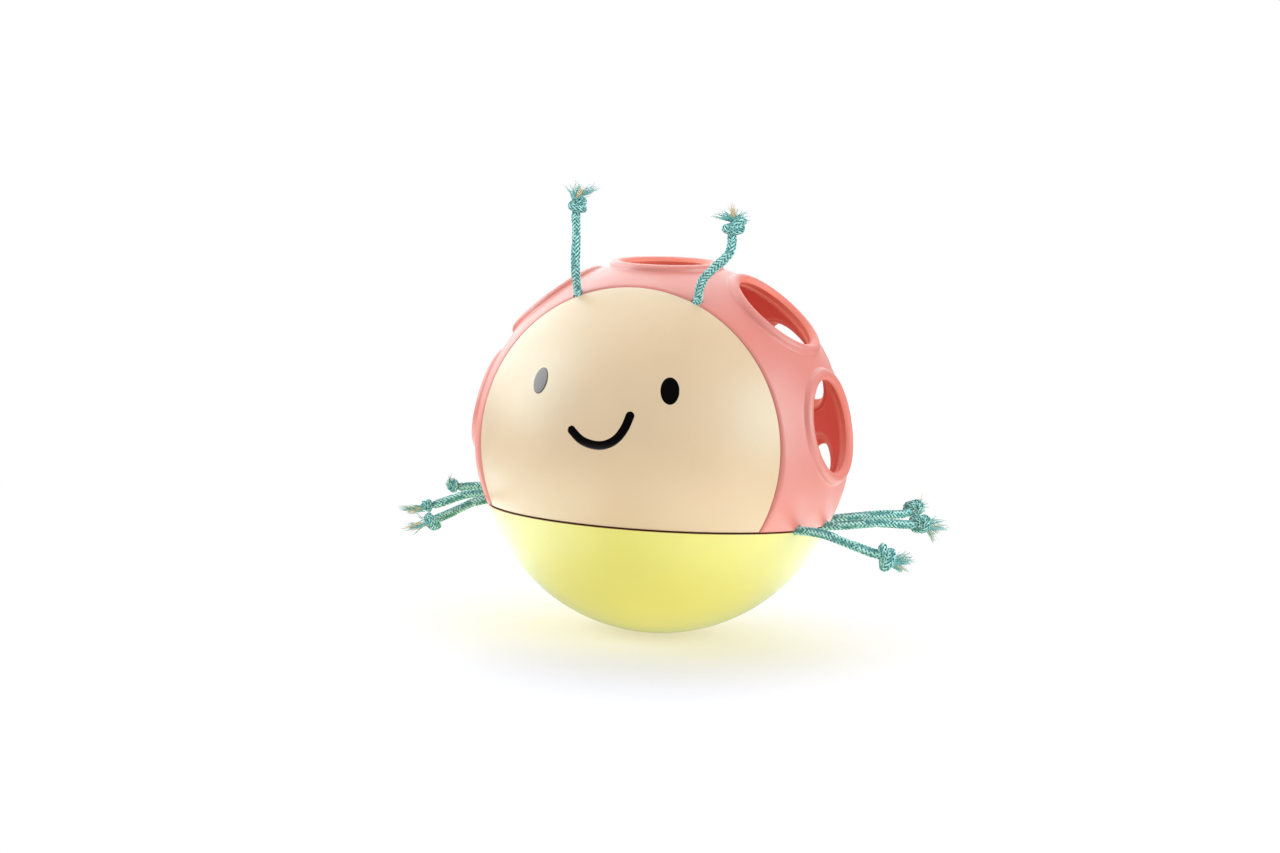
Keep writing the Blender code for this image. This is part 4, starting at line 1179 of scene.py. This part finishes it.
def build_cord(name, seed):
    """One braided cord from the stop knot inside the shell, out of its bore, to its knot and frayed end."""
    random = np.random.default_rng(seed)
    exit_point, inward, aside = EXITS[name]
    inside = ANTENNA_INSIDE if name.startswith("antenna") else LEG_INSIDE
    inner = [exit_point + (inward * way_in + aside * way_aside) / 1000 for way_in, way_aside in inside]
    route = [exit_point + Vector(step) / 1000 for step in ROUTES[name]]
    knot_turn, knot_diameter = KNOTS[name]
    free = smooth_line([inner[-1], exit_point, *route[:-1]], FREE_STEP)
    middle = route[-2]
    entry = -KNOT_IN * knot_diameter + KNOT_LEAD
    free = [p for p in free if (p - middle).length > entry]
    axis = (middle - free[-4]).normalized()
    knot = placed_knot(middle, axis, knot_turn, knot_diameter)
    stop_turn, stop_diameter = STOP_KNOT
    stop_axis = (inner[1] - inner[0]).normalized()
    stop = placed_knot(inner[0], stop_axis, stop_turn, stop_diameter)

    line = np.array(smooth_line([*stop, *inner[1:-1], *free, *knot], BRAID_STEP))
    from_middle = np.linalg.norm(line - np.array(middle), axis=1)
    from_stop = np.linalg.norm(line - np.array(inner[0]), axis=1)
    rows = np.arange(len(line))
    cord_first = rows[from_stop < -KNOT_IN * stop_diameter][-1]
    cord_last = rows[(from_middle < -KNOT_IN * knot_diameter) & (rows > cord_first)][0]
    drawn_first = rows[(from_middle < KNOT_NECK * knot_diameter) & (rows > cord_first)][0]
    share = np.ones(len(line))
    knots = ((0, cord_first, stop_diameter), (drawn_first, len(line), knot_diameter * KNOT_FULL))
    for low, high, thin in knots:
        away = np.maximum(0, np.maximum(low - rows, rows - high)) / DRAWN_ROWS
        drawn = np.clip(1 - away, 0, 1)
        drawn = drawn * drawn * (3 - 2 * drawn)
        share -= drawn * (1 - thin / (2 * CORD_RADIUS))

    tones = np.concatenate([random.uniform(*PALE_TONES, STRANDS), random.uniform(*DEEP_TONES, STRANDS)])
    braid = Braid(line, share, tones)

    def stretch(kind, first, last):
        return piece(f"{name}_{kind}", braid.mesh(name, first, last), [CORD_FINISH])

    stop_piece = stretch("stop_knot", 0, cord_first)
    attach(stop_piece, "ball")
    tube = stretch("braid", cord_first, cord_last)
    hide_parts(name + "_cord", name + "_stop_end")
    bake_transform(tube)
    knot_piece = stretch("overhand", cord_last, len(line) - 1)
    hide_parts(name + "_knot")
    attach(knot_piece, name)
    tuft = build_tuft(name, braid, len(line) - 1, middle, random)


# Stage, light and camera

WHITE = (1.0, 1.0, 1.0)

# Floor, with pairs of distances in metres between which something goes from none to full
FLOOR_RADIUS = 3.0
FLOOR_STEPS = 96
FLOOR_COLOUR = (0.52, 0.52, 0.515)
# Painted bounce light: to rays other than the camera's and glossy ones, the floor glows yellow near the ball
BOUNCE_COLOUR = (1.0, 0.90, 0.45)
BOUNCE_POWER = 0.62
BOUNCE_ENDS = (0.18, 0.03)
# Painted shadow: to the camera the floor's white glow is weaker in a stretched oval round the foot, over the
# real shadow on its matt part
SHADE_SHIFT = (-0.20, 0.36, 0.0)
SHADE_SCALE = (11.5, 9.0, 1.0)
SHADE_GLOW = 0.28            # of the shade's middle, then what its edge and the foot's contact add
EDGE_GLOW = 0.25
FOOT_GLOW = 0.02
FOOT_ENDS = (0.06, 0.0)
# Painted bounce: the floor's matt colour is warm near the foot, as yellow light from the bowl, and cool
# further out
WARM_SHADE = (0.57, 0.555, 0.50)
COOL_SHADE = (0.54, 0.55, 0.60)
COOL_ENDS = (0.03, 0.10)
WHITE_ENDS = (0.14, 0.42)
# Painted reflection: glossy rays see the floor glow white, most beside the ball and at its left
GLEAM_BASE = 0.35            # mirrored by glossy sides: everywhere, beside the ball, and more at its left
GLEAM_BESIDE = 2.9
GLEAM_LEFT = 0.6
GLEAM_LEFT_ENDS = (0.02, -0.04)
GLEAM_NEAR_ENDS = (0.03, 0.09)
GLEAM_ASIDE_ENDS = (-0.03, 0.06)
GLEAM_FAR_ENDS = (0.40, 0.10)

# Studio, with pairs of directions: light from the camera's side and from behind, and what is mirrored of it
FRONT_LIGHT = 1.22
FRONT_MIRRORED = 0.02
FRONT_ENDS = (-0.70, -0.15)
BACK_LIGHT = 0.56
BACK_MIRRORED = 0.3
LEFT_MIRRORED = 3.6
LEFT_ENDS = (0.5, -0.5)
RIGHT_MIRRORED = 1.8
RIGHT_ENDS = (0.70, 0.95)
HORIZON_ENDS = (-0.05, 0.25)
OVERHEAD_SHADE = 0.3
OVERHEAD_ENDS = (0.4, 1.0)

# Lamps: direction from the ball, distance, size and power
LAMPS = {
    "left box": ((-0.87, -0.28, 0.36), 1.4, (0.9, 1.0), 7.8),
    "right box": ((0.93, -0.06, 0.28), 1.4, (1.1, 1.0), 10.4),
    "top box": ((0.0, 0.55, 0.85), 1.6, (1.2, 1.2), 4.0),
}


def build_floor():
    """Pale floor: white to the camera, with the ball's soft shadow on it, partly painted as a weaker glow and
    a warm tint near the foot; to other rays it glows yellow near the ball as painted bounce light, and glossy
    rays see a painted gleam beside it.
    """
    made = bpy.data.materials.new("pale floor")
    made.use_nodes = True
    tree = made.node_tree
    tree.nodes.clear()

    def glow(colour, strength):
        return node(tree, "Emission", {"Color": colour, "Strength": strength}).outputs[0]

    def matt(colour):
        return node(tree, "BsdfDiffuse", {"Color": colour}).outputs[0]

    def joined(first, second):
        return node(tree, "AddShader", {0: first, 1: second}).outputs[0]

    def either(share, first, second):
        return node(tree, "MixShader", {0: share, 1: first, 2: second}).outputs[0]

    place = node(tree, "TexCoord").outputs["Object"]
    sideways = node(tree, "SeparateXYZ", {0: place}).outputs["X"]
    distance = length_of(tree, place)
    # Painted bounce light: a yellow glow near the ball, which only other surfaces see
    bounce = times(tree, between(tree, distance, BOUNCE_ENDS), BOUNCE_POWER)
    plain = joined(matt(FLOOR_COLOUR), glow(BOUNCE_COLOUR, bounce))

    # Painted shadow: the glow that the camera sees is weaker in a stretched oval round the foot
    stretched = node(tree, "Mapping", {"Vector": place, "Location": SHADE_SHIFT, "Scale": SHADE_SCALE})
    from_shade = length_of(tree, stretched.outputs["Vector"])
    lit = weighed(tree, between(tree, from_shade, (0.0, 1.0)), EDGE_GLOW, SHADE_GLOW)
    lit = weighed(tree, between(tree, distance, FOOT_ENDS), FOOT_GLOW, lit)
    # Painted bounce: warm matt colour near the foot
    shade = mixed(tree, between(tree, distance, COOL_ENDS), WARM_SHADE, COOL_SHADE)
    near = joined(glow(WHITE, lit), matt(shade))
    shown = either(between(tree, distance, WHITE_ENDS), near, glow(WHITE, 1.0))

    # Painted reflection: a glow beside the ball that only glossy rays see
    beside = between(tree, distance, GLEAM_NEAR_ENDS)
    for value, ends in ((calc(tree, "ABSOLUTE", sideways), GLEAM_ASIDE_ENDS), (distance, GLEAM_FAR_ENDS)):
        beside = times(tree, beside, between(tree, value, ends))
    shine = weighed(tree, between(tree, sideways, GLEAM_LEFT_ENDS), GLEAM_LEFT, GLEAM_BESIDE)
    gleam = glow(WHITE, weighed(tree, beside, shine, GLEAM_BASE))

    rays = node(tree, "LightPath").outputs
    mirrored_ray = calc(tree, "MAXIMUM", rays["Is Glossy Ray"], rays["Is Transmission Ray"])
    surface = either(rays["Is Camera Ray"], either(mirrored_ray, plain, gleam), shown)
    node(tree, "OutputMaterial", {"Surface": surface})
    bm = bmesh.new()
    bmesh.ops.create_circle(bm, cap_ends=True, segments=FLOOR_STEPS, radius=FLOOR_RADIUS)
    floor = piece("floor", smooth_mesh(bm, "floor"), [made])


def build_world():
    """White studio round the ball: the camera's side lights it unmirrored, the left back is mirrored most."""
    world = bpy.data.worlds.new("studio")
    bpy.context.scene.world = world
    world.use_nodes = True
    tree = world.node_tree
    tree.nodes.clear()

    def either(share, first, second):
        return node(tree, "Mix", {0: share, 2: first, 3: second}, data_type="FLOAT").outputs[0]

    rays = node(tree, "LightPath").outputs
    toward = node(tree, "SeparateXYZ", {0: node(tree, "TexCoord").outputs["Generated"]}).outputs
    sides = weighed(tree, between(tree, toward["X"], LEFT_ENDS), LEFT_MIRRORED, BACK_MIRRORED)
    sides = weighed(tree, between(tree, toward["X"], RIGHT_ENDS), RIGHT_MIRRORED, sides)
    sides = times(tree, sides, between(tree, toward["Z"], HORIZON_ENDS))
    front = either(rays["Is Glossy Ray"], FRONT_LIGHT, FRONT_MIRRORED)
    behind = either(rays["Is Glossy Ray"], BACK_LIGHT, sides)
    room = eased(tree, toward["Y"], FRONT_ENDS, front, behind)
    open_share = weighed(tree, between(tree, toward["Z"], OVERHEAD_ENDS), -OVERHEAD_SHADE, 1.0)
    strength = either(rays["Is Camera Ray"], times(tree, room, open_share), 1.0)
    back = node(tree, "Background", {"Color": WHITE, "Strength": strength}).outputs[0]
    node(tree, "OutputWorld", {"Surface": back})


def aimed(name, data, place, turn):
    """A lamp or camera at a place, turned."""
    obj = placed(name, data)
    obj.location = place
    obj.rotation_mode = "QUATERNION"
    obj.rotation_quaternion = turn
    return obj


def soft_box(name, towards, distance, size, power):
    """Large square lamp that shines at the ball."""
    data = bpy.data.lights.new(name, "AREA")
    data.shape = "RECTANGLE"
    data.size, data.size_y = size
    data.energy = power
    aim = Vector(towards).normalized()
    aimed(name, data, BALL_CENTRE + aim * distance, aim.to_track_quat("Z", "Y"))


def build_camera():
    """Camera at the photograph's angle."""
    data = bpy.data.cameras.new("camera")
    data.sensor_width = SENSOR_WIDTH
    data.lens = LENS
    data.shift_x, data.shift_y = SHIFT
    data.clip_start = CLIP_START
    place = BOWL_CENTRE + CAMERA_AXIS * CAMERA_DISTANCE
    bpy.context.scene.camera = aimed("camera", data, place, CAMERA_TURN)


def dress_inside():
    """Finishes of the solids that keep their own shape."""
    for name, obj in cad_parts.items():
        if name == "inner_frame":
            finish = FRAME_FINISH
        elif name.startswith("ballast") or "_screw" in name:
            finish = STEEL_FINISH
        else:
            continue
        obj.data.materials.clear()
        obj.data.materials.append(finish)


build_bowl()
build_cage()
build_face()
for eye_side in EYE_PLACES:
    build_eye(eye_side)
build_smile()
for number, cord_name in enumerate(ROUTES):
    build_cord(cord_name, FIRST_SEED + number)
dress_inside()
build_floor()
build_world()
for lamp_name, lamp in LAMPS.items():
    soft_box(lamp_name, *lamp)
build_camera()
bpy.context.scene.view_settings.view_transform = "Standard"
